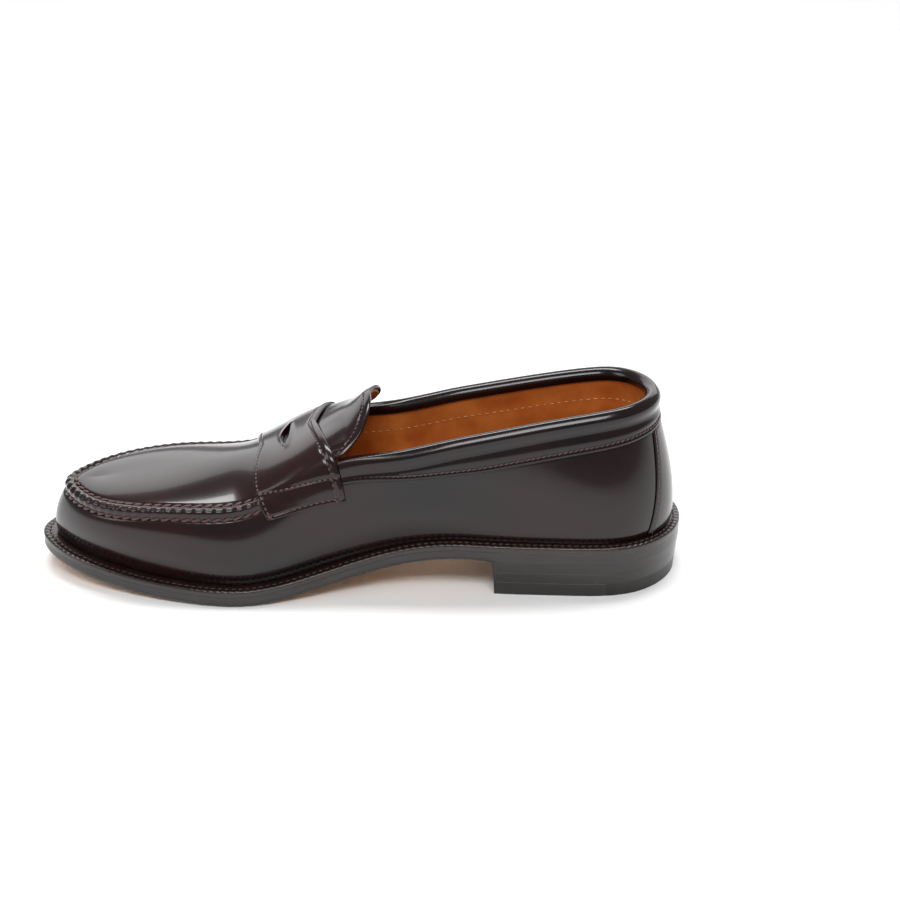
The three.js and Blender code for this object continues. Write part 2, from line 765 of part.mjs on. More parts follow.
const topPieces = makeTopPieceParts();
const oxblood = { color: 0x2a1216, roughness: 0.25, metalness: 0 };
const edgeFinish = { color: 0x120c0c, roughness: 0.35, metalness: 0 };
const tan = { color: 0xb9733a, roughness: 0.6, metalness: 0 };
const veg = { color: 0xc79a68, roughness: 0.7, metalness: 0 };
const sock = { color: 0x4a2c1c, roughness: 0.6, metalness: 0 };
const board = { color: 0x8a6a48, roughness: 0.9, metalness: 0 };
const cork = { color: 0x9a7148, roughness: 1, metalness: 0 };
const rubber = { color: 0x151515, roughness: 0.7, metalness: 0 };
const steel = { color: 0x9a9a9c, roughness: 0.35, metalness: 1 };
const brass = { color: 0xb08a44, roughness: 0.35, metalness: 1 };

const upperLiftInset = heelTaper;
const lowerLiftInset = 2 * heelTaper;
const liftHoles = [...heelNailHoles, ...treadNailHoles];

const corkBed = plate(featherRim(ribInner + clearance), weltBase, weltTop);

const pieces = [
  ["outsole", cut(plate(soleRim(0), 0, outsoleThickness), throughHoles), veg],
  ["welt", ringOf(soleRim(0), featherRim(weltTuck), weltBase, weltTop), edgeFinish],
  ["insole_rib", ringOf(featherRim(ribOuter), featherRim(ribInner), weltBase, weltTop), board],
  ["cork_filler", cut(corkBed, [makeShank(clearance)]), cork],
  ["shank", makeShank(0), steel],
  ["insole", plate(featherRim(insoleInset), upperBase, insoleTop), veg],
  ["sock_lining", plate(featherRim(insoleInset + clearance), sockBase, sockBase + sockThickness), sock],
  ["heel_lift_upper", cut(heelLayer(upperLiftInset, upperLiftBase, liftThickness), liftHoles), edgeFinish],
  ["heel_lift_lower", cut(heelLayer(lowerLiftInset, lowerLiftBase, liftThickness), liftHoles), edgeFinish],
  ["top_piece", topPieces.front, edgeFinish],
  ["top_piece_insert", topPieces.insert, rubber],
  ["vamp", makeVamp(), oxblood],
  ["apron", makeApron(), oxblood],
  ["strap", cut(makeStrapBlank(), [makeSlotTool()]), oxblood],
  ["tongue", shell(tongueGrid(0, 0), -leather, 0), oxblood],
  ["tongue_lining", shell(tongueGrid(0.03, 1.2), -liningDepth - lining, -liningDepth), tan],
  ["collar", makeCollar(), oxblood],
  ["back_panel", makeBackPanel(), oxblood],
  ["vamp_lining", makeVampLining(), tan],
  ["lateral_quarter_lining", makeQuarterLining(true), tan],
  ["medial_quarter_lining", makeQuarterLining(false), tan],
  ["heel_counter", makeHeelCounter(), board],
  ["toe_puff", makeToePuff(), board],
  ...heelNailPlaces.map((place, k) => [`heel_nail_${k + 1}`, heelNail(place, 0), steel]),
  ...treadNailPlaces.map((place, k) => [`top_piece_nail_${k + 1}`, treadNail(place, 0), brass]),
];

const loafer = new THREE.Group();
const treadBack = soleEdge(0, treadInset).x;
loafer.position.x = -(treadBack + heelBreast) / 2;
for (const [name, geometry, finish] of pieces) {
  const mesh = new THREE.Mesh(geometry, new THREE.MeshStandardMaterial(finish));
  mesh.name = name;
  loafer.add(mesh);
}

export default loafer;
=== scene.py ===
"""A left penny loafer in glazed oxblood cordovan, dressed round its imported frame.

The upper, the linings and the bottom all follow one surface, S(t, s): t runs once round the shoe in
control sections, and s climbs from the welt (0) to the edge (1) to the ridge of the instep (2).
The last's own sizes are in millimetres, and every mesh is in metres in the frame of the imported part.
"""

import logging
import math
from dataclasses import dataclass
from enum import Enum
from typing import Any, Callable, Iterable, Optional, Sequence

import bmesh
import bpy
import numpy as np
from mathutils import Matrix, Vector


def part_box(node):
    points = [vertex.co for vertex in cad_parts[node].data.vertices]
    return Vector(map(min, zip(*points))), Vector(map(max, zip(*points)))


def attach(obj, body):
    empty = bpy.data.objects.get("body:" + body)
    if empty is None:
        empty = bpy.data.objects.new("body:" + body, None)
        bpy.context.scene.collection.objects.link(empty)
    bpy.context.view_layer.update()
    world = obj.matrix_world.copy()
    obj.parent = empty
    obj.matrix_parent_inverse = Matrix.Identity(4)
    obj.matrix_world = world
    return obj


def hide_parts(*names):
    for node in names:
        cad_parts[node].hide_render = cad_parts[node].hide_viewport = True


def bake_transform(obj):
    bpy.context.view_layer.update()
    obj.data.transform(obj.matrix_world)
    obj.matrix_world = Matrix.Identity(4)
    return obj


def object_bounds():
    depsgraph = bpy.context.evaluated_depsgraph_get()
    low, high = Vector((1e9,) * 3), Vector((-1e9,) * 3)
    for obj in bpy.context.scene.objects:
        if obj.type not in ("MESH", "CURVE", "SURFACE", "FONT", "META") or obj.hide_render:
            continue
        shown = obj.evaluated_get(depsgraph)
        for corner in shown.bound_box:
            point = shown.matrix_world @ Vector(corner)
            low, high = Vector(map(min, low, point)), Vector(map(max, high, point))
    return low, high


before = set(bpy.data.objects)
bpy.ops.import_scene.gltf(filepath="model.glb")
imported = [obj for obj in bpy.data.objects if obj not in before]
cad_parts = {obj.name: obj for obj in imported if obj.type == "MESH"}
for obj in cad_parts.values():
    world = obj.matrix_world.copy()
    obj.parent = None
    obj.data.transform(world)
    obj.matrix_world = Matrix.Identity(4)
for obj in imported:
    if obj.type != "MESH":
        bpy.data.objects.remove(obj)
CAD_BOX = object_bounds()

LOG = logging.getLogger("loafer")
MM = 0.001
EDGE_ROUND = 0.55  # how far a cut edge swells out, as a share of half the leather's thickness
EDGE_TURNS = 6  # rows of points round a cut edge
BEAD_RINGS = 6

Array = np.ndarray
Piece = bpy.types.Object
Material = bpy.types.Material
Tree = bpy.types.NodeTree
Socket = bpy.types.NodeSocket
Outline = Sequence[tuple[float, float]]


class Body(Enum):
    """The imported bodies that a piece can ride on."""

    SHOE = "shoe"
    TONGUE = "tongue"


class Rim(Enum):
    """The four borders of a grid of points."""

    FIRST_ROW = "first row"
    LAST_ROW = "last row"
    FIRST_COLUMN = "first column"
    LAST_COLUMN = "last column"


class Slot(Enum):
    """The material slots."""

    UPPER = "upper_leather"
    EDGE = "sole_edge"
    LINING = "lining_leather"
    SOCK = "sock_leather"
    SOLE = "sole_leather"
    RUBBER = "heel_rubber"


# Small sums


def smooth(low: float, high: float, value: Array) -> Array:
    """Eases from 0 at low to 1 at high."""
    share = np.clip((value - low) / (high - low), 0.0, 1.0)
    return share * share * (3.0 - 2.0 * share)


def mix(start: Any, end: Any, share: Any) -> Any:
    """Goes straight from start to end."""
    return start + (end - start) * share


def bump(distance: Array, centre: float, width: float) -> Array:
    """A soft hump of height 1 round a distance."""
    return np.exp(-(((distance - centre) / width) ** 2))


def unit(vectors: Array) -> Array:
    """Vectors brought to length 1, and null ones left as they are."""
    length = np.linalg.norm(vectors, axis=-1, keepdims=True)
    return vectors / np.where(length < 1e-9, 1.0, length)


def bezier(a: Array, b: Array, c: Array, d: Array, share: Array) -> Array:
    """A point of a cubic Bezier curve.

    Args:
        a: First end.
        b: Its control point.
        c: Control point of the other end.
        d: Other end.
        share: 0 to 1 along it.

    Returns:
        Points in millimetres.
    """
    f = share[..., None]
    g = 1.0 - f
    return a * g**3 + b * 3 * g**2 * f + c * 3 * g * f**2 + d * f**3


def catmull(points: Sequence[Sequence[float]], steps: int) -> Array:
    """A smooth closed line through points.

    Args:
        points: corners of the line, each of any number of coordinates.
        steps: how many stretches each side is cut into.

    Returns:
        The points of the line, one row each.
    """
    corners = np.asarray(points, float)
    before, after = np.roll(corners, 1, axis=0), np.roll(corners, -1, axis=0)
    beyond = np.roll(corners, -2, axis=0)
    rows = []
    for f in np.arange(steps) / steps:
        rows.append(
            0.5
            * (
                2 * corners
                + (after - before) * f
                + (2 * before - 5 * corners + 4 * after - beyond) * f**2
                + (3 * corners - before - 3 * after + beyond) * f**3
            )
        )
    return np.stack(rows, axis=1).reshape(-1, corners.shape[1])


def spread(*parts: tuple[float, float, int]) -> Array:
    """Joins evenly spaced runs of numbers, each given as start, end and count."""
    runs = [np.linspace(start, end, count, endpoint=False) for start, end, count in parts]
    return np.concatenate(runs + [np.array([parts[-1][1]])])


# The last


@dataclass
class Last:
    """The shared surface of the shoe, in millimetres from the back of the heel welt."""

    sections: int = 26
    back_height: float = 60.8
    seam_height: float = 33.5
    instep_height: float = 60.0
    outsole: float = 5.0
    welt: float = 2.7
    clearance: float = 0.3
    heel_height: float = 17.2
    toe_spring: float = 9.0
    welt_at_heel: float = 4.5
    welt_at_ball: float = 6.5
    spline_gain: float = 1.0467
    heel_angles: tuple[float, ...] = (150, 120, 95)
    heel_sole: tuple[float, ...] = (39, 39, 38.6, 38.2)
    heel_edge: tuple[float, ...] = (40.9, 25.5, 24.5, 26.5)
    toe_sole: tuple[float, float] = (301, 1)
    toe_edge: tuple[float, float] = (286.5, 0)
    outer_sole: Outline = (
        (62, 38.6), (92, 37.2), (128, 31.6), (165, 39.5), (200, 51), (233, 44.8), (261, 36), (283, 25),
        (296, 12),
    )  # fmt: skip
    inner_sole: Outline = (
        (62, 38.2), (94, 34.8), (130, 28.6), (168, 38.5), (204, 52.5), (234, 56), (261, 45), (283, 29),
        (296, 14),
    )  # fmt: skip
    outer_edge: Outline = (
        (64, 28.3), (94, 31.5), (130, 31.5), (162, 30.5), (195, 38.5), (228, 37.5), (255, 32.5), (273, 21.5),
        (283, 8.5),
    )  # fmt: skip
    inner_edge: Outline = (
        (64, 27), (95, 25.5), (132, 26.5), (164, 29.5), (199, 35), (231, 35.5), (257, 32.5), (274, 23),
        (283.5, 9),
    )  # fmt: skip
    topline_share: tuple[float, ...] = (1, 1, 0.99, 0.97, 0.917, 0.836, 0.715, 0.865)
    seam_share: tuple[float, ...] = (1.03, 1.05, 0.92, 0.82, 0.79, 0.79)
    ridge_x: tuple[float, ...] = (107, 138, 169, 200, 228, 248, 261, 267, 270)
    ridge_share: tuple[float, ...] = (1.2, 1.135, 0.955, 0.77, 0.685, 0.61, 0.555, 0.525, 0.51)
    bulge_low: tuple[float, ...] = (1.5, 1.5, 2, 3, 3.5, 4, 4.2, 3.5, 3.5, 3.5, 3, 2, 1.5, 1.5)
    bulge_high: tuple[float, ...] = (5.2, 5.2, 5, 4.5, 4, 4.5, 5, 5.5, 7, 8, 8, 7, 6, 6)
    strap_rear: float = 6.76
    strap_rear_at_ridge: float = 7.0
    strap_front: float = 7.79
    strap_bow: float = 0.16
    strap_low_rear: float = 0.65
    strap_low_front: float = 0.79

    def __post_init__(self) -> None:
        """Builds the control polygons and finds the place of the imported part."""
        self.toe = self.sections / 2
        self.welt_top = self.outsole + self.clearance + self.welt
        self.upper_base = self.welt_top + self.clearance
        self.sole_polygon = self._closed(self.heel_sole, self.outer_sole, self.toe_sole, self.inner_sole)
        heights = [share * self.back_height for share in self.topline_share]
        heights += [share * self.seam_height for share in self.seam_share]
        self.edge_polygon = self._closed(self.heel_edge, self.outer_edge, self.toe_edge, self.inner_edge)
        self.edge_polygon[:, 2] = self._mirrored(heights)
        first = len(heights) - len(self.ridge_x)
        xs = [self.ridge_x[max(k - first, 0)] for k in range(len(heights))]
        zs = [self.ridge_share[max(k - first, 0)] * self.instep_height for k in range(len(heights))]
        self.ridge_polygon = np.zeros((self.sections, 3))
        self.ridge_polygon[:, 0] = self._mirrored(xs)
        self.ridge_polygon[:, 2] = self._mirrored(zs)
        self.bulge_polygon = np.zeros((self.sections, 3))
        self.bulge_polygon[:, 0] = self._mirrored(self.bulge_low)
        self.bulge_polygon[:, 1] = self._mirrored(self.bulge_high)
        rim = self.spline(self.sole_polygon, np.linspace(0, self.sections, 2601))
        self.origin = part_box("welt")[0][0] / MM - rim[:, 0].min()

    def _closed(self, heel: Sequence[float], outer: Outline, toe: Sequence[float], inner: Outline) -> Array:
        """The closed control polygon: back, outer side, toe and inner side.

        Args:
            heel: Middle, length and half widths of the heel's round.
            outer: Control points of the outer side.
            toe: The foremost point.
            inner: Control points of the inner side.

        Returns:
            The polygon, at height 0.
        """
        centre, length, outer_half, inner_half = heel

        def side(half: float, rest: Outline) -> list[tuple[float, float]]:
            """One side of the polygon.

            Args:
                half: Half width of the heel's round.
                rest: The points ahead of it.

            Returns:
                Points from the back forwards.
            """
            turns = [math.radians(angle) for angle in self.heel_angles]
            gain = self.spline_gain
            arc = [(centre + length * gain * math.cos(a), half * gain * math.sin(a)) for a in turns]
            return arc + list(rest)

        back = [(centre - length * self.spline_gain, 0.0)]
        far = [(x, -y) for x, y in side(inner_half, inner)][::-1]
        flat = np.array(back + side(outer_half, outer) + [tuple(toe)] + far, float)
        return np.hstack([flat, np.zeros((len(flat), 1))])

    @staticmethod
    def _mirrored(values: Sequence[float]) -> Array:
        """The same values for both sides of the shoe."""
        return np.array(list(values) + list(values[1:-1])[::-1], float)

    def side_of(self, t: Array) -> Array:
        """How far along either side a station is, 0 at the back and 13 at the toe."""
        wrapped = np.mod(t, self.sections)
        return np.minimum(wrapped, self.sections - wrapped)

    def spline(self, polygon: Array, t: Array) -> Array:
        """A point of a closed uniform cubic B-spline.

        Args:
            polygon: Its control points.
            t: Stations round the shoe.

        Returns:
            Points in millimetres.
        """
        t = np.asarray(t, float)
        first = np.floor(t).astype(int)
        f = (t - first)[..., None]
        weights = ((1 - f) ** 3, 3 * f**3 - 6 * f**2 + 4, -3 * f**3 + 3 * f**2 + 3 * f + 1, f**3)
        total = 0.0
        for k, weight in enumerate(weights):
            total = total + polygon[(first - 1 + k) % self.sections] * weight / 6
        return total

    def tread(self, x: Array) -> Array:
        """Height of the outsole's underside: level over the heel, down to the ball, up to the toe."""
        spring = np.maximum(0.0, (x - 204.0) / 96.0)
        return self.heel_height * (1 - smooth(100, 205, x)) + self.toe_spring * spring**2

    def outward(self, t: Array) -> Array:
        """Level direction out of the shoe.

        Args:
            t: Stations round the shoe.

        Returns:
            Unit vectors.
        """
        step = 0.02
        along = unit(self.spline(self.sole_polygon, t + step) - self.spline(self.sole_polygon, t - step))
        return np.stack([-along[..., 1], along[..., 0], np.zeros_like(along[..., 0])], axis=-1)

    def rim(self, t: Array, inset: Array, height: Array) -> Array:
        """A point of the bottom, inset from the rim of the welt and raised over the tread.

        Args:
            t: Stations round the shoe.
            inset: Millimetres inside the rim.
            height: Millimetres over the tread.

        Returns:
            Points in millimetres.
        """
        inset = np.asarray(inset, float)[..., None]
        point = self.spline(self.sole_polygon, t) - self.outward(t) * inset
        point[..., 2] = self.tread(point[..., 0]) + height
        return point

    def extension(self, t: Array) -> Array:
        """How far the welt stands out from the upper."""
        x = self.spline(self.sole_polygon, t)[..., 0]
        return mix(self.welt_at_heel, self.welt_at_ball, smooth(110, 170, x))

    def seat(self, polygon: Array, t: Array) -> Array:
        """A point whose height counts from the top of the welt below it.

        Args:
            polygon: Control points of the line.
            t: Stations round the shoe.

        Returns:
            Points in millimetres.
        """
        point = self.spline(polygon, t)
        point[..., 2] += self.tread(point[..., 0]) + self.welt_top
        return point

    def _wall(self, t: Array, s: Array) -> Array:
        """The side of the shoe, from the welt to the edge.

        Args:
            t: Stations round the shoe.
            s: Heights: 0 the welt, 1 the edge, 2 the ridge.

        Returns:
            Points in millimetres.
        """
        foot = self.rim(t, self.extension(t), self.upper_base)
        edge = self.seat(self.edge_polygon, t)
        out = self.outward(t)
        bulge = self.spline(self.bulge_polygon, t)
        lift = np.zeros_like(foot)
        lift[..., 2] = (edge[..., 2] - foot[..., 2]) * 0.35
        low = foot + out * bulge[..., :1] + lift
        high = edge + out * bulge[..., 1:2] - lift
        return bezier(foot, low, high, edge, s)

    def _slope(self, t: Array) -> Array:
        """How steeply the ridge climbs.

        Args:
            t: Stations round the shoe.

        Returns:
            Rise over run, forwards.
        """
        step = 0.15
        side = self.side_of(t)
        ahead = self.seat(self.ridge_polygon, np.minimum(side + step, self.toe))
        behind = self.seat(self.ridge_polygon, side - step)
        run = ahead[..., 0] - behind[..., 0]
        return (ahead[..., 2] - behind[..., 2]) / np.where(np.abs(run) < 1e-6, 1.0, run)

    def _roof(self, t: Array, s: Array) -> Array:
        """The top of the shoe, from the edge to the ridge.

        Args:
            t: Stations round the shoe.
            s: Heights: 0 the welt, 1 the edge, 2 the ridge.

        Returns:
            Points in millimetres.
        """
        edge = self.seat(self.edge_polygon, t)
        ridge = self.seat(self.ridge_polygon, t)
        inward = ridge - edge
        inward[..., 2] = 0.0
        span = np.linalg.norm(inward, axis=-1, keepdims=True)
        inward = unit(inward)
        apron = smooth(7.2, 8.3, self.side_of(t))[..., None]
        climb = np.zeros_like(edge)
        climb[..., 2:] = mix(0.95, 0.48, apron)
        low = edge + (inward * mix(0.25, 0.82, apron) + climb) * span * 0.28
        high = ridge - inward * span * 0.4
        high[..., 2] += self._slope(t) * (high[..., 0] - ridge[..., 0])
        return bezier(edge, low, high, ridge, s - 1)

    def surface(self, t: Array, s: Array) -> Array:
        """A point of the outer face of the upper.

        Args:
            t: Stations round the shoe.
            s: Heights: 0 the welt, 1 the edge, 2 the ridge.

        Returns:
            Points in millimetres.
        """
        t, s = np.broadcast_arrays(np.asarray(t, float), np.asarray(s, float))
        wall = self._wall(t, np.clip(s, 0, 1))
        roof = self._roof(t, np.clip(s, 1, 2))
        return np.where((s <= 1)[..., None], wall, roof)

    def normal(self, t: Array, s: Array) -> Array:
        """The outward direction that every layer of the upper shares.

        Args:
            t: Stations round the shoe.
            s: Heights: 0 the welt, 1 the edge, 2 the ridge.

        Returns:
            Unit vectors.
        """
        t, s = np.broadcast_arrays(np.asarray(t, float), np.asarray(s, float))
        top = np.where((s <= 1) & (self.side_of(t) < 7.2), 1.0, 2.0)
        above = self.surface(t, np.minimum(s + 0.06, top))
        below = self.surface(t, np.maximum(s - 0.06, 0.0))
        ahead, behind = self.surface(t + 0.05, s), self.surface(t - 0.05, s)
        turned = unit(np.cross(above - below, ahead - behind))
        slope = self._slope(t)
        crest = unit(np.stack([-slope, np.zeros_like(slope), np.ones_like(slope)], axis=-1))
        return np.where((s > 1.999)[..., None], crest, turned)

    def layer(self, t: Array, s: Array, offset: Array) -> Array:
        """A point that stands off the surface by an offset."""
        offset = np.asarray(offset, float)
        return self.surface(t, s) + self.normal(t, s) * offset[..., None]

    def rise(self, t: Array) -> Array:
        """Length of the wall near its edge for one whole step of s."""
        foot = self.rim(t, self.extension(t), self.upper_base)
        return (self.seat(self.edge_polygon, t)[..., 2] - foot[..., 2]) * 1.05

    def sections_per_mm(self, t: Array, s: Array) -> Array:
        """How many control sections one millimetre along the shoe is.

        Args:
            t: Stations round the shoe.
            s: Heights: 0 the welt, 1 the edge, 2 the ridge.

        Returns:
            Sections for each millimetre.
        """
        step = 0.1
        reach = self.surface(t + step, s) - self.surface(t - step, s)
        return 2 * step / np.linalg.norm(reach, axis=-1)

    def strap_rear_at(self, s: Array) -> Array:
        """Station of the strap's rear edge at a height."""
        climb = np.clip((s - self.strap_low_rear) / (2 - self.strap_low_rear), 0, 1)
        return mix(self.strap_rear, self.strap_rear_at_ridge, 1 - (1 - climb) ** 2)

    def strap_front_at(self, s: Array) -> Array:
        """Station of the strap's front edge at a height."""
        climb = np.clip((s - self.strap_low_front) / (2 - self.strap_low_front), 0, 1)
        return self.strap_front + self.strap_bow * np.sin(np.pi * climb**0.8) ** 0.9 + 0.06 * climb

    def sided(self, t: Array, outer: Array) -> Array:
        """The same station on the outer or the inner side."""
        return np.where(outer, t, self.sections - t)

    def placed(self, points: Array) -> Array:
        """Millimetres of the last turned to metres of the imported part.

        Args:
            points: In millimetres.

        Returns:
            The same points in metres.
        """
        moved = np.array(points, float)
        moved[..., 0] += self.origin
        return moved * MM


# Meshes


def raw_mesh(
    name: str, points: Array, faces: Iterable[Sequence[int]], finishes: Optional[Array] = None
) -> Piece:
    """Makes an object from points in metres.

    Args:
        name: the piece's name.
        points: one row for each corner.
        faces: corners of each face.
        finishes: which material slot each face takes, if not the first.

    Returns:
        The object, with doubles merged, faces outwards and shading smooth.
    """
    mesh = bpy.data.meshes.new(name)
    corners = np.asarray(points).reshape(-1, 3).tolist()
    mesh.from_pydata(corners, [], [tuple(int(k) for k in face) for face in faces])
    if finishes is not None:
        mesh.polygons.foreach_set("material_index", np.asarray(finishes, np.int32))
    tidy = bmesh.new()
    tidy.from_mesh(mesh)
    bmesh.ops.remove_doubles(tidy, verts=tidy.verts, dist=2e-6)
    bmesh.ops.dissolve_degenerate(tidy, edges=tidy.edges, dist=1e-7)
    bmesh.ops.recalc_face_normals(tidy, faces=tidy.faces)
    if tidy.calc_volume(signed=True) < 0:
        bmesh.ops.reverse_faces(tidy, faces=tidy.faces)
    tidy.to_mesh(mesh)
    tidy.free()
    mesh.shade_smooth()
    piece = bpy.data.objects.new(name, mesh)
    bpy.context.scene.collection.objects.link(piece)
    return piece


def quads(rows: int, columns: int, start: int, flip: bool = False) -> list[tuple[int, int, int, int]]:
    """Faces of a grid of points whose first point has the index start.

    Args:
        rows: Points one way.
        columns: Points the other way.
        start: Index of the first point.
        flip: Turns the faces over.

    Returns:
        Four indices for each face.
    """
    faces = []
    for i in range(rows - 1):
        for j in range(columns - 1):
            a = start + i * columns + j
            face = (a, a + 1, a + columns + 1, a + columns)
            faces.append(face[::-1] if flip else face)
    return faces


def leather_shell(last: Last, name: str, outer: Array, inner: Array, joined: Sequence[Rim] = ()) -> Piece:
    """A piece of leather between two grids of points, with rounded cut edges.

    Args:
        last: the shoe's surface, which places the piece.
        name: the piece's name.
        outer: points of the outer face, rows by columns.
        inner: points of the inner face in the same order.
        joined: borders that meet themselves and so have no cut edge.

    Returns:
        The closed piece.
    """
    rows, columns = outer.shape[:2]
    away = np.zeros_like(outer)
    if Rim.FIRST_ROW not in joined:
        away[0] += unit(outer[0] - outer[1])
    if Rim.LAST_ROW not in joined:
        away[-1] += unit(outer[-1] - outer[-2])
    if Rim.FIRST_COLUMN not in joined:
        away[:, 0] += unit(outer[:, 0] - outer[:, 1])
    if Rim.LAST_COLUMN not in joined:
        away[:, -1] += unit(outer[:, -1] - outer[:, -2])
    away = unit(away)
    middle, half = (outer + inner) / 2, (outer - inner) / 2
    reach = np.linalg.norm(half, axis=-1, keepdims=True) * EDGE_ROUND
    turns = np.linspace(0, np.pi, EDGE_TURNS)
    layers = [middle + half * math.cos(a) + away * reach * math.sin(a) for a in turns]
    points = [layers[0], layers[-1]]
    faces = quads(rows, columns, 0) + quads(rows, columns, rows * columns, flip=True)
    count = 2 * rows * columns
    borders = {
        Rim.FIRST_ROW: (0, slice(None)),
        Rim.LAST_ROW: (rows - 1, slice(None)),
        Rim.FIRST_COLUMN: (slice(None), 0),
        Rim.LAST_COLUMN: (slice(None), columns - 1),
    }
    for rim, place in borders.items():
        if rim in joined:
            continue
        strip = np.stack([layer[place] for layer in layers])
        flip = rim in (Rim.FIRST_ROW, Rim.LAST_COLUMN)
        faces += quads(strip.shape[0], strip.shape[1], count, flip=flip)
        points.append(strip)
        count += strip.shape[0] * strip.shape[1]
    flat = np.concatenate([p.reshape(-1, 3) for p in points])
    return raw_mesh(name, last.placed(flat), faces)


def ring_faces(loops: int, count: int, closed: bool) -> list[tuple[int, int, int, int]]:
    """Faces between closed loops of points that follow each other.

    Args:
        loops: How many loops.
        count: Points in each.
        closed: Joins the last loop to the first.

    Returns:
        Four indices for each face.
    """
    faces = []
    spans = loops if closed else loops - 1
    for i in range(spans):
        for j in range(count):
            a, b = i * count + j, i * count + (j + 1) % count
            c, d = ((i + 1) % loops) * count + (j + 1) % count, ((i + 1) % loops) * count + j
            faces.append((a, b, c, d))
    return faces


def applied(piece: Piece) -> Piece:
    """Turns the result of a piece's modifiers into its own plain mesh.

    Args:
        piece: A piece with modifiers.

    Returns:
        The same piece without them.
    """
    graph = bpy.context.evaluated_depsgraph_get()
    graph.update()
    mesh = bpy.data.meshes.new_from_object(piece.evaluated_get(graph))
    mesh.name = piece.name
    piece.modifiers.clear()
    piece.data = mesh
    return piece


def edge_shaded(piece: Piece, degrees: float = 35.0) -> Piece:
    """Keeps corners sharper than an angle crisp."""
    piece.data.set_sharp_from_angle(angle=math.radians(degrees))
    return piece


# Materials


def linear(hex_colour: str) -> tuple[float, float, float, float]:
    """An sRGB hex colour as linear red, green, blue and alpha.

    Args:
        hex_colour: As #rrggbb.

    Returns:
        Four numbers from 0 to 1.
    """
    channels = [int(hex_colour[k : k + 2], 16) / 255 for k in (1, 3, 5)]
    parts = [c / 12.92 if c <= 0.04045 else ((c + 0.055) / 1.055) ** 2.4 for c in channels]
    return parts[0], parts[1], parts[2], 1.0


def add(tree: Tree, kind: str, inputs: dict[Any, Any], **settings: Any) -> bpy.types.Node:
    """Adds a node with its settings, values and links.

    Args:
        tree: the tree that gets the node.
        kind: the node's type.
        inputs: what each input socket, by name or number, holds: a value, or the output linked to it.
        settings: properties of the node itself.

    Returns:
        The node.
    """
    node = tree.nodes.new(kind)
    for name, value in settings.items():
        setattr(node, name, value)
    for key, value in inputs.items():
        if isinstance(value, Socket):
            tree.links.new(value, node.inputs[key])
        else:
            node.inputs[key].default_value = value
    return node


def new_surface(name: str) -> tuple[Material, Tree, Socket]:
    """An empty material, its tree and the object's own coordinates in metres.

    Args:
        name: The material's name.

    Returns:
        The material, its tree and the coordinates.
    """
    material = bpy.data.materials.new(name)
    material.use_nodes = True
    tree = material.node_tree
    tree.nodes.clear()
    coordinates = tree.nodes.new("ShaderNodeTexCoord").outputs["Object"]
    return material, tree, coordinates


def noise(tree: Tree, where: Socket, millimetres: float, detail: float = 2.0) -> Socket:
    """Noise whose lumps are about as wide as a length in millimetres."""
    inputs = {"Vector": where, "Scale": 1000.0 / millimetres, "Detail": detail}
    return add(tree, "ShaderNodeTexNoise", inputs).outputs["Fac"]


def ramp(tree: Tree, value: Socket, stops: Sequence[tuple[float, str]]) -> Socket:
    """A colour that goes through stops as the value grows.

    Args:
        tree: The material's tree.
        value: What the colour follows.
        stops: Places from 0 to 1, each with a colour.

    Returns:
        The colour.
    """
    node = add(tree, "ShaderNodeValToRGB", {"Fac": value})
    elements = node.color_ramp.elements
    while len(elements) < len(stops):
        elements.new(0.5)
    for element, (place, colour) in zip(elements, stops):
        element.position = place
        element.color = linear(colour)
    return node.outputs["Color"]


def span(tree: Tree, value: Socket, low: float, high: float) -> Socket:
    """Noise brought to between two numbers."""
    inputs = {"Value": value, "From Min": 0.3, "From Max": 0.7, "To Min": low, "To Max": high}
    return add(tree, "ShaderNodeMapRange", inputs).outputs["Result"]


def bumped(tree: Tree, height: Socket, depth: float, under: Any = None) -> Socket:
    """A relief of a depth in millimetres, over another relief if there is one.

    Args:
        tree: The material's tree.
        height: The pattern.
        depth: Millimetres.
        under: The relief beneath it.

    Returns:
        The normal.
    """
    inputs = {"Height": height, "Distance": depth * MM, "Strength": 1.0}
    if under is not None:
        inputs["Normal"] = under
    return add(tree, "ShaderNodeBump", inputs).outputs["Normal"]


def finish(tree: Tree, **sockets: Any) -> None:
    """Adds the Principled shader with its sockets, named with underscores, and the output.

    Args:
        tree: The material's tree.
        **sockets: Values or sockets by name.
    """
    inputs = {name.replace("_", " "): value for name, value in sockets.items()}
    shader = add(tree, "ShaderNodeBsdfPrincipled", inputs)
    add(tree, "ShaderNodeOutputMaterial", {"Surface": shader.outputs["BSDF"]})


@dataclass(frozen=True)
class Cordovan:
    """Shell cordovan: dense horsehide, rolled and glazed with wax, so broad soft reflections run
    over a nearly black wine colour that glows red only where the light is strong."""

    name: str = "glazed_shell_cordovan"
    dark: str = "#0a0405"
    wine: str = "#210a0c"
    cloud: float = 60.0  # patches of deeper dye
    roll: float = 9.0  # soft waves left by lasting
    pore: float = 0.45  # drawn a little coarser than real, to show
    ior: float = 1.4
    coat: float = 0.25

    def make(self) -> Material:
        """Builds the material.

        Returns:
            The material.
        """
        material, tree, where = new_surface(self.name)
        cloud = noise(tree, where, self.cloud, 3.0)
        pores = noise(tree, where, self.pore, 2.0)
        relief = bumped(tree, noise(tree, where, self.roll, 1.0), 0.03)
        relief = bumped(tree, pores, 0.004, relief)
        finish(
            tree,
            Base_Color=ramp(tree, cloud, [(0.3, self.dark), (0.7, self.wine)]),
            Roughness=span(tree, cloud, 0.17, 0.22),
            IOR=self.ior,
            Coat_Weight=self.coat,
            Coat_Roughness=0.06,
            Coat_IOR=1.5,
            Normal=relief,
        )
        return material


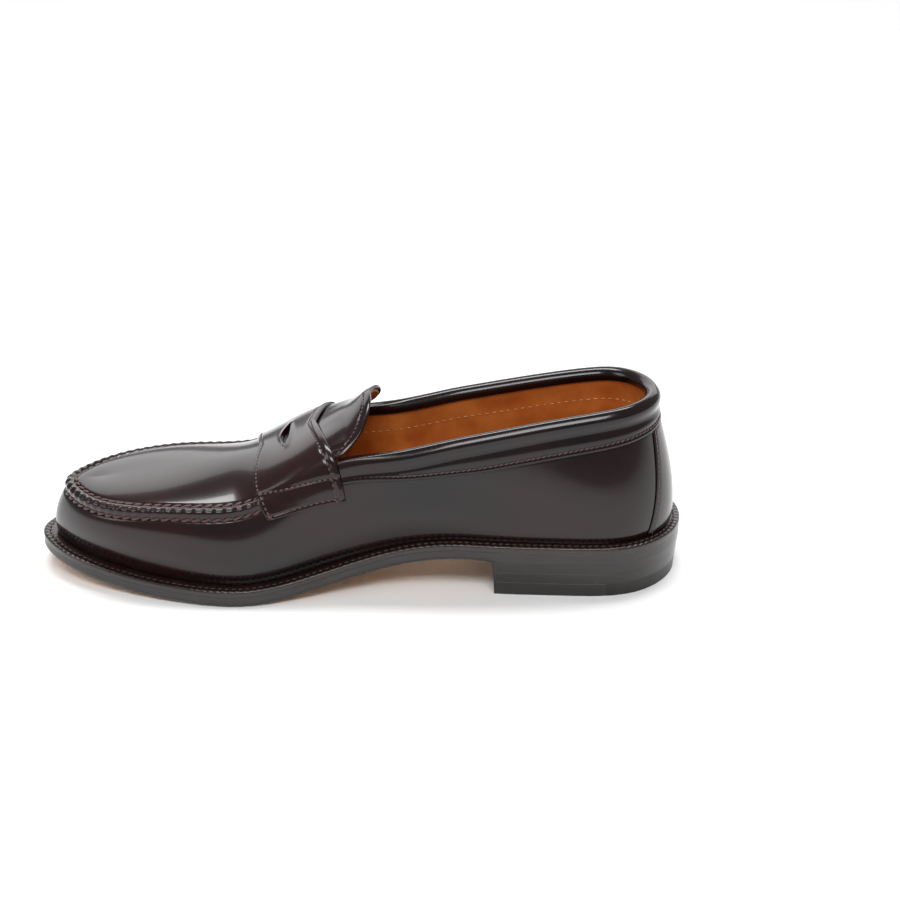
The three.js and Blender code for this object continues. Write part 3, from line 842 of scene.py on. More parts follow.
@dataclass(frozen=True)
class WaxedThread:
    """Waxed linen thread: two plies laid together, so it shines a little along its ridges, partly by a small
    sheen and partly by colour painted lighter on the ridges and darker in the hollows between the plies
    (painted highlight and painted shade over the fibre's tone).
    """

    name: str
    colour: str
    # the darker colour, painted into the hollows between the plies as painted shade
    painted_shade: str
    roughness: float = 0.42
    ply: float = 0.35

    def make(self) -> Material:
        """Builds the material.

        Returns:
            The material.
        """
        material, tree, where = new_surface(self.name)
        fibre = noise(tree, where, self.ply, 2.0)
        finish(
            tree,
            # colour follows the same noise as the bump: painted shade in the hollows, painted highlight on
            # the ridges
            Base_Color=ramp(tree, fibre, [(0.35, self.painted_shade), (0.6, self.colour)]),
            Roughness=self.roughness,
            Sheen_Weight=0.15,
            Normal=bumped(tree, fibre, 0.12),
        )
        return material


@dataclass(frozen=True)
class CalfLining:
    """Vegetable-tanned calf lining: unglazed, so it keeps its grain and an uneven orange tan."""

    name: str = "tan_calf_lining"
    dark: str = "#b0581c"
    light: str = "#d88038"
    cloud: float = 18.0
    grain: float = 0.9
    roughness: float = 0.5

    def make(self) -> Material:
        """Builds the material.

        Returns:
            The material.
        """
        material, tree, where = new_surface(self.name)
        cloud = noise(tree, where, self.cloud, 4.0)
        cells = {"Vector": where, "Scale": 1000.0 / self.grain}
        pebble = add(tree, "ShaderNodeTexVoronoi", cells, feature="SMOOTH_F1").outputs["Distance"]
        relief = bumped(tree, noise(tree, where, 5.0, 2.0), 0.06)
        finish(
            tree,
            Base_Color=ramp(tree, cloud, [(0.3, self.dark), (0.7, self.light)]),
            Roughness=self.roughness,
            Normal=bumped(tree, pebble, 0.03, relief),
        )
        return material


@dataclass(frozen=True)
class TannedLeather:
    """Plain tanned leather with its fibre and pores left showing: sock, insole and outsole."""

    name: str
    dark: str
    light: str
    roughness: float
    cloud: float = 12.0
    pore: float = 0.6
    depth: float = 0.05

    def make(self) -> Material:
        """Builds the material.

        Returns:
            The material.
        """
        material, tree, where = new_surface(self.name)
        cloud = noise(tree, where, self.cloud, 5.0)
        pores = noise(tree, where, self.pore, 3.0)
        finish(
            tree,
            Base_Color=ramp(tree, cloud, [(0.3, self.dark), (0.7, self.light)]),
            Roughness=span(tree, pores, self.roughness - 0.06, self.roughness + 0.08),
            Normal=bumped(tree, pores, self.depth),
        )
        return material


@dataclass(frozen=True)
class InkedEdge:
    """A leather edge, sanded, inked black-brown and burnished with hot wax: glossy, with the faint
    level lines of the leather's layers under the wax."""

    name: str = "burnished_sole_edge"
    dark: str = "#0b0706"
    light: str = "#1d1310"
    layer: float = 0.7
    stretch: float = 0.04

    def make(self) -> Material:
        """Builds the material.

        Returns:
            The material.
        """
        material, tree, where = new_surface(self.name)
        drawn = {"Vector": where, "Scale": (self.stretch, self.stretch, 1.0)}
        long_way = add(tree, "ShaderNodeMapping", drawn).outputs["Vector"]
        lines = noise(tree, long_way, self.layer, 3.0)
        cloud = noise(tree, where, 14.0, 3.0)
        relief = bumped(tree, lines, 0.012)
        finish(
            tree,
            Base_Color=ramp(tree, lines, [(0.3, self.dark), (0.75, self.light)]),
            Roughness=span(tree, cloud, 0.26, 0.4),
            IOR=1.5,
            Coat_Weight=0.35,
            Coat_Roughness=0.14,
            Normal=bumped(tree, cloud, 0.03, relief),
        )
        return material


@dataclass(frozen=True)
class MouldedRubber:
    """Moulded heel rubber: dense and matt with a fine stipple."""

    name: str = "moulded_rubber"
    colour: str = "#151312"
    light: str = "#24211f"

    def make(self) -> Material:
        """Builds the material.

        Returns:
            The material.
        """
        material, tree, where = new_surface(self.name)
        stipple = noise(tree, where, 0.5, 2.0)
        finish(
            tree,
            Base_Color=ramp(tree, noise(tree, where, 9.0, 3.0), [(0.3, self.colour), (0.7, self.light)]),
            Roughness=span(tree, stipple, 0.34, 0.46),
            Normal=bumped(tree, stipple, 0.03),
        )
        return material


@dataclass(frozen=True)
class Metal:
    """Drawn wire cut into pins: bright metal with a little tarnish."""

    name: str
    colour: str
    tarnish: str

    def make(self) -> Material:
        """Builds the material.

        Returns:
            The material.
        """
        material, tree, where = new_surface(self.name)
        stain = noise(tree, where, 0.8, 3.0)
        finish(
            tree,
            Base_Color=ramp(tree, stain, [(0.35, self.tarnish), (0.65, self.colour)]),
            Metallic=1.0,
            Roughness=span(tree, stain, 0.25, 0.45),
        )
        return material


@dataclass(frozen=True)
class StudioPaper:
    """Matt white background paper."""

    name: str = "white_background_paper"
    colour: str = "#f4f4f3"

    def make(self) -> Material:
        """Builds the material.

        Returns:
            The material.
        """
        material, tree, where = new_surface(self.name)
        tooth = noise(tree, where, 0.8, 2.0)
        finish(tree, Base_Color=linear(self.colour), Roughness=0.8, Normal=bumped(tree, tooth, 0.01))
        return material


class Wardrobe:
    """Every material of the shoe, made once."""

    def __init__(self) -> None:
        """Makes the materials."""
        self.cordovan = Cordovan().make()
        # each thread's second colour is the painted shade of its ply hollows, and its first is painted
        # lighter for the ridges
        self.oxblood_thread = WaxedThread("oxblood_linen_thread", "#633a38", "#301818").make()
        self.dark_thread = WaxedThread("dark_linen_thread", "#5c3e3e", "#1d1011").make()
        self.welt_thread = WaxedThread("brown_linen_thread", "#4a2c28", "#1c0f0d").make()
        self.pale_thread = WaxedThread("straw_linen_thread", "#d8ab74", "#a87440").make()
        self.natural_thread = WaxedThread("natural_linen_thread", "#d9c7a4", "#a58d66").make()
        self.lining = CalfLining().make()
        self.sock = TannedLeather("brown_sock_leather", "#2f1c12", "#4b301f", 0.5, 16.0, 0.7, 0.03).make()
        self.bend = TannedLeather("oak_bark_sole_bend", "#a87444", "#c99a68", 0.55, 9.0, 0.5).make()
        self.insole = TannedLeather("shoulder_insole_leather", "#b58a5e", "#cfa97c", 0.6).make()
        self.board = TannedLeather("fibre_stiffener_board", "#7f6244", "#99795a", 0.85, 2.0, 0.3, 0.08).make()
        self.cork = TannedLeather("ground_cork", "#7c5733", "#b68a5a", 0.9, 1.6, 0.9, 0.3).make()
        self.edge = InkedEdge().make()
        self.welt = InkedEdge("inked_welt_leather", "#0d0706", "#2a1612", 1.6, 1.0).make()
        self.rubber = MouldedRubber().make()
        self.steel = Metal("steel_wire", "#b4b4b6", "#77777a").make()
        self.brass = Metal("brass_wire", "#c9a050", "#80602a").make()
        self.paper = StudioPaper().make()


# Stitches


@dataclass(frozen=True)
class Thread:
    """One stitch as the eye sees it: a short bead of thread, in millimetres."""

    pitch: float
    length: float
    width: float
    height: float
    skew: float = 0.0  # degrees that a stitch turns from its row
    sink: float = 0.0  # how far its middle lies under the leather's face


class Sewing:
    """Lays stitches along rows with one Geometry Nodes tree."""

    UP = "stitch_up"

    def __init__(self, last: Last) -> None:
        """Builds the tree.

        Args:
            last: The shape that is sewn.
        """
        self.last = last
        self.tree = bpy.data.node_groups.new("stitch_row", "GeometryNodeTree")
        self.sockets = self._interface()
        self._build()

    def _interface(self) -> dict[str, str]:
        """Returns:
            Identifiers by name.
        """
        face = self.tree.interface
        face.new_socket("Geometry", in_out="INPUT", socket_type="NodeSocketGeometry")
        found = {}
        for name, kind in (
            ("Pitch", "NodeSocketFloat"),
            ("Size", "NodeSocketVector"),
            ("Sink", "NodeSocketFloat"),
            ("Skew", "NodeSocketFloat"),
            ("Segments", "NodeSocketInt"),
            ("Material", "NodeSocketMaterial"),
        ):
            found[name] = face.new_socket(name, in_out="INPUT", socket_type=kind).identifier
        face.new_socket("Geometry", in_out="OUTPUT", socket_type="NodeSocketGeometry")
        return found

    def _build(self) -> None:
        """Fills the tree: row to curve, equal steps, a bead at each, turned along the row."""
        tree = self.tree
        given = tree.nodes.new("NodeGroupInput").outputs
        row = add(tree, "GeometryNodeMeshToCurve", {"Mesh": given["Geometry"]}).outputs["Curve"]
        steps = {"Curve": row, "Length": given["Pitch"]}
        row = add(tree, "GeometryNodeResampleCurve", steps, mode="LENGTH").outputs["Curve"]
        up = add(tree, "GeometryNodeInputNamedAttribute", {"Name": self.UP}, data_type="FLOAT_VECTOR")
        up = up.outputs["Attribute"]
        tangent = tree.nodes.new("GeometryNodeInputTangent").outputs["Tangent"]
        axes = {"Primary Axis": up, "Secondary Axis": tangent}
        frame_turn = add(
            tree, "FunctionNodeAxesToRotation", axes, primary_axis="Z", secondary_axis="X"
        ).outputs["Rotation"]
        skew = {"Axis": (0.0, 0.0, 1.0), "Angle": given["Skew"]}
        skewed = add(tree, "FunctionNodeAxisAngleToRotation", skew).outputs["Rotation"]
        both = {"Rotation": frame_turn, "Rotate By": skewed}
        turn = add(tree, "FunctionNodeRotateRotation", both, rotation_space="LOCAL").outputs["Rotation"]
        down = add(
            tree, "ShaderNodeVectorMath", {"Vector": up, "Scale": given["Sink"]}, operation="SCALE"
        ).outputs["Vector"]
        row = add(tree, "GeometryNodeSetPosition", {"Geometry": row, "Offset": down}).outputs["Geometry"]
        ball = {"Segments": given["Segments"], "Rings": BEAD_RINGS, "Radius": 0.5}
        bead = add(tree, "GeometryNodeMeshUVSphere", ball).outputs["Mesh"]
        bead = add(tree, "GeometryNodeSetShadeSmooth", {"Geometry": bead}).outputs["Geometry"]
        laid = {"Points": row, "Instance": bead, "Rotation": turn, "Scale": given["Size"]}
        beads = add(tree, "GeometryNodeInstanceOnPoints", laid).outputs["Instances"]
        real = add(tree, "GeometryNodeRealizeInstances", {"Geometry": beads}).outputs["Geometry"]
        dyed = {"Geometry": real, "Material": given["Material"]}
        done = add(tree, "GeometryNodeSetMaterial", dyed).outputs["Geometry"]
        out = tree.nodes.new("NodeGroupOutput")
        tree.links.new(done, out.inputs["Geometry"])

    def sew(
        self,
        name: str,
        rows: Sequence[tuple[Array, Array]],
        thread: Thread,
        material: Material,
        closed: bool = False,
    ) -> Piece:
        """Sews one piece made of one or more rows.

        Args:
            name: the piece's name.
            rows: points of each row in the last's millimetres, and the directions out of the leather.
            thread: the stitch's sizes.
            material: what the thread is.
            closed: whether each row ends where it starts.

        Returns:
            The stitches as one plain mesh.
        """
        points, ups, edges = [], [], []
        for line, out in rows:
            first = sum(len(p) for p in points)
            count = len(line)
            points.append(self.last.placed(line))
            ups.append(unit(out))
            edges += [(first + k, first + k + 1) for k in range(count - 1)]
            if closed:
                edges.append((first + count - 1, first))
        mesh = bpy.data.meshes.new(name)
        mesh.from_pydata(np.concatenate(points).tolist(), edges, [])
        layer = mesh.attributes.new(self.UP, "FLOAT_VECTOR", "POINT")
        layer.data.foreach_set("vector", np.concatenate(ups).astype(np.float32).ravel())
        piece = bpy.data.objects.new(name, mesh)
        bpy.context.scene.collection.objects.link(piece)
        work = piece.modifiers.new("stitches", "NODES")
        work.node_group = self.tree
        work[self.sockets["Pitch"]] = thread.pitch * MM
        work[self.sockets["Size"]] = (thread.length * MM, thread.width * MM, thread.height * MM)
        work[self.sockets["Sink"]] = -thread.sink * MM
        work[self.sockets["Skew"]] = math.radians(thread.skew)
        work[self.sockets["Segments"]] = 8
        work[self.sockets["Material"]] = material
        applied(piece)
        if not piece.data.materials:
            piece.data.materials.append(material)
        return piece


# Sub-assemblies


@dataclass
class Assembly:
    """A group of pieces that share the last, the wardrobe and the sewing."""

    last: Last
    wardrobe: Wardrobe
    sewing: Sewing

    def keep(
        self,
        piece: Piece,
        material: Optional[Material],
        slot: Optional[Slot],
        nodes: Sequence[str] = (),
        body: Optional[Body] = Body.SHOE,
    ) -> Piece:
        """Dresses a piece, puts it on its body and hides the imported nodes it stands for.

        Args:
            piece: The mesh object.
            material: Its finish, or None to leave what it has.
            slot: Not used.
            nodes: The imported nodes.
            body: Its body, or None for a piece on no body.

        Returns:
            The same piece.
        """
        if material is not None:
            piece.data.materials.clear()
            piece.data.materials.append(material)
        if nodes:
            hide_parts(*nodes)
        if body is not None:
            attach(piece, body.value)
        LOG.info("%s: %d faces", piece.name, len(piece.data.polygons))
        return piece


    def sheet(
        self,
        name: str,
        place: tuple[Array, Array],
        depths: tuple[Array, Array],
        joined: Sequence[Rim] = (),
    ) -> Piece:
        """Cuts a sheet of leather over a grid of stations and heights.

        Args:
            name: the piece's name.
            place: station and height of each point.
            depths: offsets of the outer and the inner face from the last.
            joined: borders that meet themselves.

        Returns:
            The sheet, not yet dressed.
        """
        outer, inner = (self.last.layer(*place, depth) for depth in depths)
        return leather_shell(self.last, name, outer, inner, joined)


def over_the_top(steps: Array) -> tuple[Array, Array]:
    """Heights up the outer side and down the inner one, and which of them are outer.

    Args:
        steps: Heights up one side.

    Returns:
        The heights and the flags.
    """
    heights = np.concatenate([steps, steps[:-1][::-1]])
    outer = np.arange(len(heights)) < len(steps)
    return heights, outer


@dataclass
class Moccasin(Assembly):
    """The vamp and quarters, the apron and the raised hand-sewn seam between them."""

    leather: float = 1.6
    bead: float = 1.35
    bead_place: float = 0.5
    bead_width: float = 1.7
    row_place: float = 3.3  # stitches this far from the seam on either side
    row_depth: float = 0.7
    row_width: float = 0.85
    pucker: float = 0.12
    rope: Thread = Thread(pitch=4.6, length=4.4, width=1.35, height=1.15, skew=16, sink=0.1)

    def relief(self, t: Array, distance: Array) -> Array:
        """How the leather stands up at the seam and is drawn down under the thread.

        Args:
            t: Stations round the shoe.
            distance: Millimetres from the seam.

        Returns:
            Millimetres outwards.
        """
        side = self.last.side_of(t)
        front = smooth(7.45, 7.9, side)
        pull = 1 + self.pucker * np.cos(2 * np.pi * self.paces(side) / self.rope.pitch)
        raised = self.bead * bump(distance, self.bead_place, self.bead_width) * (2 - pull)
        pulled = self.row_depth * bump(distance, self.row_place, self.row_width) * pull
        return front * (raised - pulled)

    def paces(self, side: Array) -> Array:
        """Millimetres along the seam from under the strap to a station.

        Args:
            side: Stations along either side.

        Returns:
            Millimetres.
        """
        t = np.linspace(self.last.strap_rear, self.last.toe, 300)
        line = self.last.surface(t, np.ones_like(t))
        length = np.concatenate([[0], np.cumsum(np.linalg.norm(np.diff(line, axis=0), axis=1))])
        return np.interp(side, t, length)

    def build(self) -> None:
        """Builds and dresses every piece."""
        self._vamp()
        self._apron()
        self._seam()

    def _vamp(self) -> None:
        """The vamp and quarters, one piece right round the shoe."""
        last = self.last
        t = spread((0.02, 6.4, 70), (6.4, last.sections - 6.4, 560), (last.sections - 6.4, 25.98, 70))
        s = spread((0.0, 0.72, 14), (0.72, 0.998, 30))
        grid_t, grid_s = np.meshgrid(t, s, indexing="ij")
        distance = (1 - grid_s) * last.rise(grid_t)
        depths = (self.relief(grid_t, distance), -self.leather)
        piece = self.sheet("vamp_leather", (grid_t, grid_s), depths)
        self.keep(piece, self.wardrobe.cordovan, Slot.UPPER, ["vamp"])

    def roof_scale(self, t: Array) -> Array:
        """Millimetres of the roof for one whole step of s, near the seam."""
        reach = self.last.surface(t, np.full_like(t, 1.08)) - self.last.surface(t, np.ones_like(t))
        return np.linalg.norm(reach, axis=-1) / 0.08

    def _apron(self) -> None:
        """The apron, from under the strap round to the toe, both halves in one piece."""
        last = self.last
        heights, outer_side = over_the_top(spread((1.003, 1.28, 30), (1.28, 2.0, 18)))
        share = spread((0.0, 0.12, 4), (0.12, 1.0, 260))
        start = last.strap_rear_at(heights)[None, :]
        side = mix(start, last.toe, share[:, None])
        grid_s = np.broadcast_to(heights[None, :], side.shape)
        grid_t = last.sided(side, outer_side[None, :])
        distance = (grid_s - 1) * self.roof_scale(grid_t)
        depths = (self.relief(grid_t, distance), -self.leather)
        piece = self.sheet("apron_leather", (grid_t, grid_s), depths, [Rim.LAST_ROW])
        self.keep(piece, self.wardrobe.cordovan, Slot.UPPER, ["apron"])

    def _seam(self) -> None:
        """Two rows of thick thread, one on the vamp and one on the apron."""
        last = self.last
        t = np.linspace(last.strap_front + 0.04, last.sections - last.strap_front - 0.04, 500)
        rows = []
        for below in (True, False):
            scale = last.rise(t) if below else self.roof_scale(t)
            s = 1 - self.row_place / scale if below else 1 + self.row_place / scale
            offset = self.relief(t, np.full_like(t, self.row_place)) + 0.3
            rows.append((last.layer(t, s, offset), last.normal(t, s)))
        thread = self.wardrobe.oxblood_thread
        self.keep(self.sewing.sew("apron_stitches", rows, self.rope, thread), None, None)


@dataclass
class Strap(Assembly):
    """The strap over the instep, with its crescent slot, rolled rear edge and stitched tabs."""

    under: float = 0.35
    thickness: float = 1.5
    roll: float = 0.5
    roll_place: float = 1.5
    roll_width: float = 1.1
    rear_row: float = 3.6
    front_row: float = 1.5
    low_row: float = 1.7
    high_row: float = 12.2
    slot_width: float = 26.0
    slot_height: float = 4.6
    slot_bow: float = 3.0
    slot_lip: float = 0.45
    lip_width: float = 1.3
    stitch: Thread = Thread(pitch=2.5, length=1.8, width=0.9, height=0.65, sink=0.0)

    def station(self, share: Array, column: Array) -> tuple[Array, Array]:
        """Station and height of a point.

        Args:
            share: 0 at the rear edge to 1 at the front edge.
            column: 0 at the tab's lower edge, 1 at the apron's edge, 2 at the ridge.

        Returns:
            How far along the side, and the height s.
        """
        last = self.last
        low = mix(last.strap_low_rear, last.strap_low_front, share)
        s = np.where(column <= 1, mix(low, 1.0, np.clip(column, 0, 1)), column)
        return mix(last.strap_rear_at(s), last.strap_front_at(s), share), s

    def slot_frame(self) -> tuple[Array, Array, Array, Array]:
        """The slot's middle, and its directions across, along and out of the strap.

        Returns:
            A point and three unit vectors.
        """
        last = self.last
        t = np.array((last.strap_rear_at_ridge + last.strap_front) / 2)
        centre, out = last.surface(t, np.array(2.0)), last.normal(t, np.array(2.0))
        across = np.array([0.0, -1.0, 0.0])
        return centre, across, np.cross(out, across), out

    def slot_sides(self, x: Array) -> tuple[Array, Array]:
        """The two curves of the crescent at a place across the strap.

        Args:
            x: Millimetres across from its middle.

        Returns:
            The rear curve and the front one, in millimetres.
        """
        share = np.clip((x + self.slot_width / 2) / self.slot_width, 0, 1)
        swell = 2 * share * (1 - share)
        return swell * (self.slot_bow - self.slot_height), swell * (self.slot_bow + self.slot_height)

    def relief(self, points: Array, share: Array, column: Array, lip: bool) -> Array:
        """How far the strap's face stands off its plain thickness, with the slot's lip or without.

        Args:
            points: Points of the face.
            share: 0 at the rear edge to 1 at the front.
            column: Height up the strap, 2 at the ridge.
            lip: Adds the slot's lip.

        Returns:
            Millimetres outwards.
        """
        last = self.last
        t, s = self.station(share, column)
        rear, front = last.strap_rear_at(s), last.strap_front_at(s)
        width = (front - rear) / last.sections_per_mm(t, s)
        from_rear, from_front = share * width, (1 - share) * width
        low = mix(last.strap_low_rear, last.strap_low_front, share)
        from_low = self.from_low(t, s, low)
        marks = (
            (self.roll, from_rear, self.roll_place, self.roll_width),
            (-0.3, from_rear, self.rear_row, 0.6),
            (-0.25, from_front, self.front_row, 0.45),
            (-0.2, from_front, 0, 0.7),
            (-0.3, from_low, self.low_row, 0.5),
            (-0.35, from_low, self.high_row, 0.7),
            (0.2, from_low, (self.low_row + self.high_row) / 2, 3.4),
        )
        total = sum(height * bump(distance, place, width) for height, distance, place, width in marks)
        total = total + 0.2 * bump(from_low, self.high_row + 2.6, 1.5) * smooth(0.9, 0.2, share)
        centre, across, along, _ = self.slot_frame()
        x, y = (points - centre) @ across, (points - centre) @ along
        low_side, high_side = self.slot_sides(x)
        beside = np.maximum(np.maximum(y - high_side, low_side - y), np.abs(x) - self.slot_width / 2)
        return total + self.slot_lip * bump(np.maximum(beside, 0), 0.0, self.lip_width) if lip else total

    def roof(self, t: Array) -> Array:
        """Millimetres over the roof for one whole step of s, near the tabs."""
        reach = self.last.surface(t, np.full_like(t, 1.2)) - self.last.surface(t, np.ones_like(t))
        return np.linalg.norm(reach, axis=-1) / 0.2

    def from_low(self, t: Array, s: Array, low: Array) -> Array:
        """Millimetres up from the tab's lower edge."""
        wall = (1 - low) * self.last.rise(t)
        return np.where(s <= 1, (s - low) * self.last.rise(t), wall + self.roof(t) * (s - 1))

    def build(self) -> None:
        """Builds and dresses every piece."""
        last = self.last
        column, outer_side = over_the_top(spread((0.0, 1.0, 34), (1.0, 1.72, 26), (1.72, 2.0, 26)))
        share = spread((0.0, 0.3, 18), (0.3, 0.85, 34), (0.85, 1.0, 9))
        grid_share, grid_column = np.meshgrid(share, column, indexing="ij")
        side, s = self.station(grid_share, grid_column)
        t = last.sided(side, outer_side[None, :])
        plain = last.surface(t, s)
        raised = self.relief(plain, grid_share, grid_column, lip=True)
        depths = (self.under + self.thickness + raised, self.under)
        piece = self.sheet("strap_leather", (t, s), depths)
        self._cut_slot(piece)
        self.keep(piece, self.wardrobe.cordovan, Slot.UPPER, ["strap"])
        self._stitches()

    def _cut_slot(self, piece: Piece) -> None:
        """Cuts the crescent slot right through the strap.

        Args:
            piece: The strap.
        """
        centre, across, along, out = self.slot_frame()
        x = np.linspace(-self.slot_width / 2, self.slot_width / 2, 41)
        low_side, high_side = self.slot_sides(x)
        loop = list(zip(x, low_side)) + list(zip(x[-2:0:-1], high_side[-2:0:-1]))
        flat = np.array([centre + across * a + along * b for a, b in loop])
        depth = 8.0
        points = np.concatenate([flat - out * depth, flat + out * depth])
        count = len(loop)
        faces: list[Sequence[int]] = ring_faces(2, count, closed=False)
        faces += [tuple(range(count)), tuple(range(2 * count - 1, count - 1, -1))]
        tool = raw_mesh("slot_tool", self.last.placed(points), faces)
        cut = piece.modifiers.new("slot", "BOOLEAN")
        cut.operation = "DIFFERENCE"
        cut.solver = "EXACT"
        cut.object = tool
        applied(piece)
        bpy.data.objects.remove(tool)
        edge_shaded(piece, 50.0)

    def _row(self, share: Array, column: Array, outer: Any) -> tuple[Array, Array]:
        """A line on the strap's face and the directions out of it.

        Args:
            share: 0 at the rear edge to 1 at the front.
            column: Height up the strap, 2 at the ridge.
            outer: Whether on the outer side.

        Returns:
            Points and unit vectors.
        """
        side, s = self.station(share, column)
        t = self.last.sided(side, outer)
        raised = self.relief(self.last.surface(t, s), share, column, lip=False)
        offset = self.under + self.thickness + raised + 0.1
        return self.last.layer(t, s, offset), self.last.normal(t, s)

    def _stitches(self) -> None:
        """Rows along the front and rear edges and two across each tab."""
        last = self.last
        column, outer = over_the_top(spread((0.06, 1.0, 40), (1.0, 2.0, 60)))
        rows = []
        for place, share in ((self.rear_row, 0.0), (self.front_row, 1.0)):
            side, s = self.station(np.full_like(column, share), column)
            width = (last.strap_front_at(s) - last.strap_rear_at(s)) / last.sections_per_mm(side, s)
            rows.append(self._row(np.abs(share - place / width), column, outer))
        share = np.linspace(0.05, 0.95, 40)
        low = mix(last.strap_low_rear, last.strap_low_front, share)
        for place in (self.low_row, self.high_row):
            side = mix(last.strap_rear, last.strap_front, share)
            wall = (1 - low) * last.rise(side)
            column = np.where(place < wall, place / wall, 1 + (place - wall) / self.roof(side))
            rows += [self._row(share, column, True), self._row(share, column, False)]
        stitches = self.sewing.sew("strap_stitches", rows, self.stitch, self.wardrobe.dark_thread)
        self.keep(stitches, None, None)


@dataclass
class Tongue(Assembly):
    """The free end of the tongue, which bends up from under the strap."""

    leather: float = 1.6
    lining_gap: float = 0.3
    lining: float = 1.0
    low: float = 1.13
    length: float = 29.0
    corner: float = 3.0
    bluntness: float = 1.7
    inner_bluntness: float = 4.0
    gap: float = 0.1
    flare: float = 2.2
    row: float = 3.4
    bend: float = 9.0  # length along the tongue that takes the bend
    drop: float = 0.3  # how far the last climbs over that length, as a share of it
    stitch: Thread = Thread(pitch=2.2, length=1.6, width=0.6, height=0.5)

    def grid(self, share: Array, spot: Array, inset: float) -> tuple[Array, Array, Array]:
        """Stations of the tongue.

        Args:
            share: 0 at the strap to 1 at the free edge, one number a row.
            spot: 0 at the side corner to 1 at the ridge, one number a column up one side.
            inset: how far the free edge is drawn in, in millimetres.

        Returns:
            Station, height and distance from the free edge, rows by columns.
        """
        last = self.last
        columns, outer = over_the_top(spot)
        s = mix(self.low + 0.004 * inset, 2.0, columns)[None, :]
        start = last.strap_rear_at(s) - self.gap * last.sections_per_mm(last.strap_rear_at(s), s)
        power = np.where(outer, self.bluntness, self.inner_bluntness)[None, :]
        rounding = 1 - (1 - np.clip((s - self.low) / (2 - self.low), 0, 1)) ** power
        reach = mix(self.corner, self.length, rounding) - inset
        end = start - reach * last.sections_per_mm(last.strap_rear_at(s) - 0.3, s)
        side = mix(start, end, share[:, None])
        s = np.broadcast_to(s, side.shape)
        free = np.minimum((1 - share[:, None]) * reach, (s - self.low) * 24.0)
        return last.sided(side, outer[None, :]), s, free

    def lift(self, free: Array, s: Array) -> Array:
        """How far the free end stands up off the last."""
        return self.flare * smooth(16, 0, free) * smooth(self.low, 1.8, s)

    def build(self) -> None:
        """Builds and dresses every piece."""
        last = self.last
        share, spot = spread((0.0, 0.75, 22), (0.75, 1.0, 12)), spread((0.0, 0.2, 8), (0.2, 1.0, 34))
        t, s, free = self.grid(share, spot, 0.0)
        dip = 0.3 * bump(free, self.row, 0.55) + 0.12 * bump(free, 0, 0.8)
        depths = (self.lift(free, s) - dip, self.lift(free, s) - self.leather)
        leather = self.sheet("tongue_leather", (t, s), depths)
        t, s, free = self.grid(share, spot, 1.4)
        top = self.lift(free + 1.4, s) - self.leather - self.lining_gap * 0.3
        lining = self.sheet("tongue_lining_leather", (t, s), (top, top - self.lining))
        self._dress(leather, self.wardrobe.cordovan, Slot.UPPER, ["tongue"])
        self._dress(lining, self.wardrobe.lining, Slot.LINING, ["tongue_lining"])
        spot = np.linspace(0.06, 1.0, 80)
        t, s, free = self.grid(np.array([1.0]), spot, self.row)
        line = last.layer(t, s, self.lift(np.full_like(free, self.row), s) - 0.1)[0]
        rows = [(line, last.normal(t, s)[0])]
        stitches = self.sewing.sew("tongue_stitches", rows, self.stitch, self.wardrobe.dark_thread)
        self._dress(stitches, None, None, [])

    def _dress(self, piece: Piece, material: Any, slot: Optional[Slot], nodes: list[str]) -> None:
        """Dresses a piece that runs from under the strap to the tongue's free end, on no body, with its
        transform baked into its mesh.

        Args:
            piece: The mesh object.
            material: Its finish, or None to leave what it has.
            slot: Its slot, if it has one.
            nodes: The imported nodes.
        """
        self.keep(piece, material, slot, nodes, None)
        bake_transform(piece)


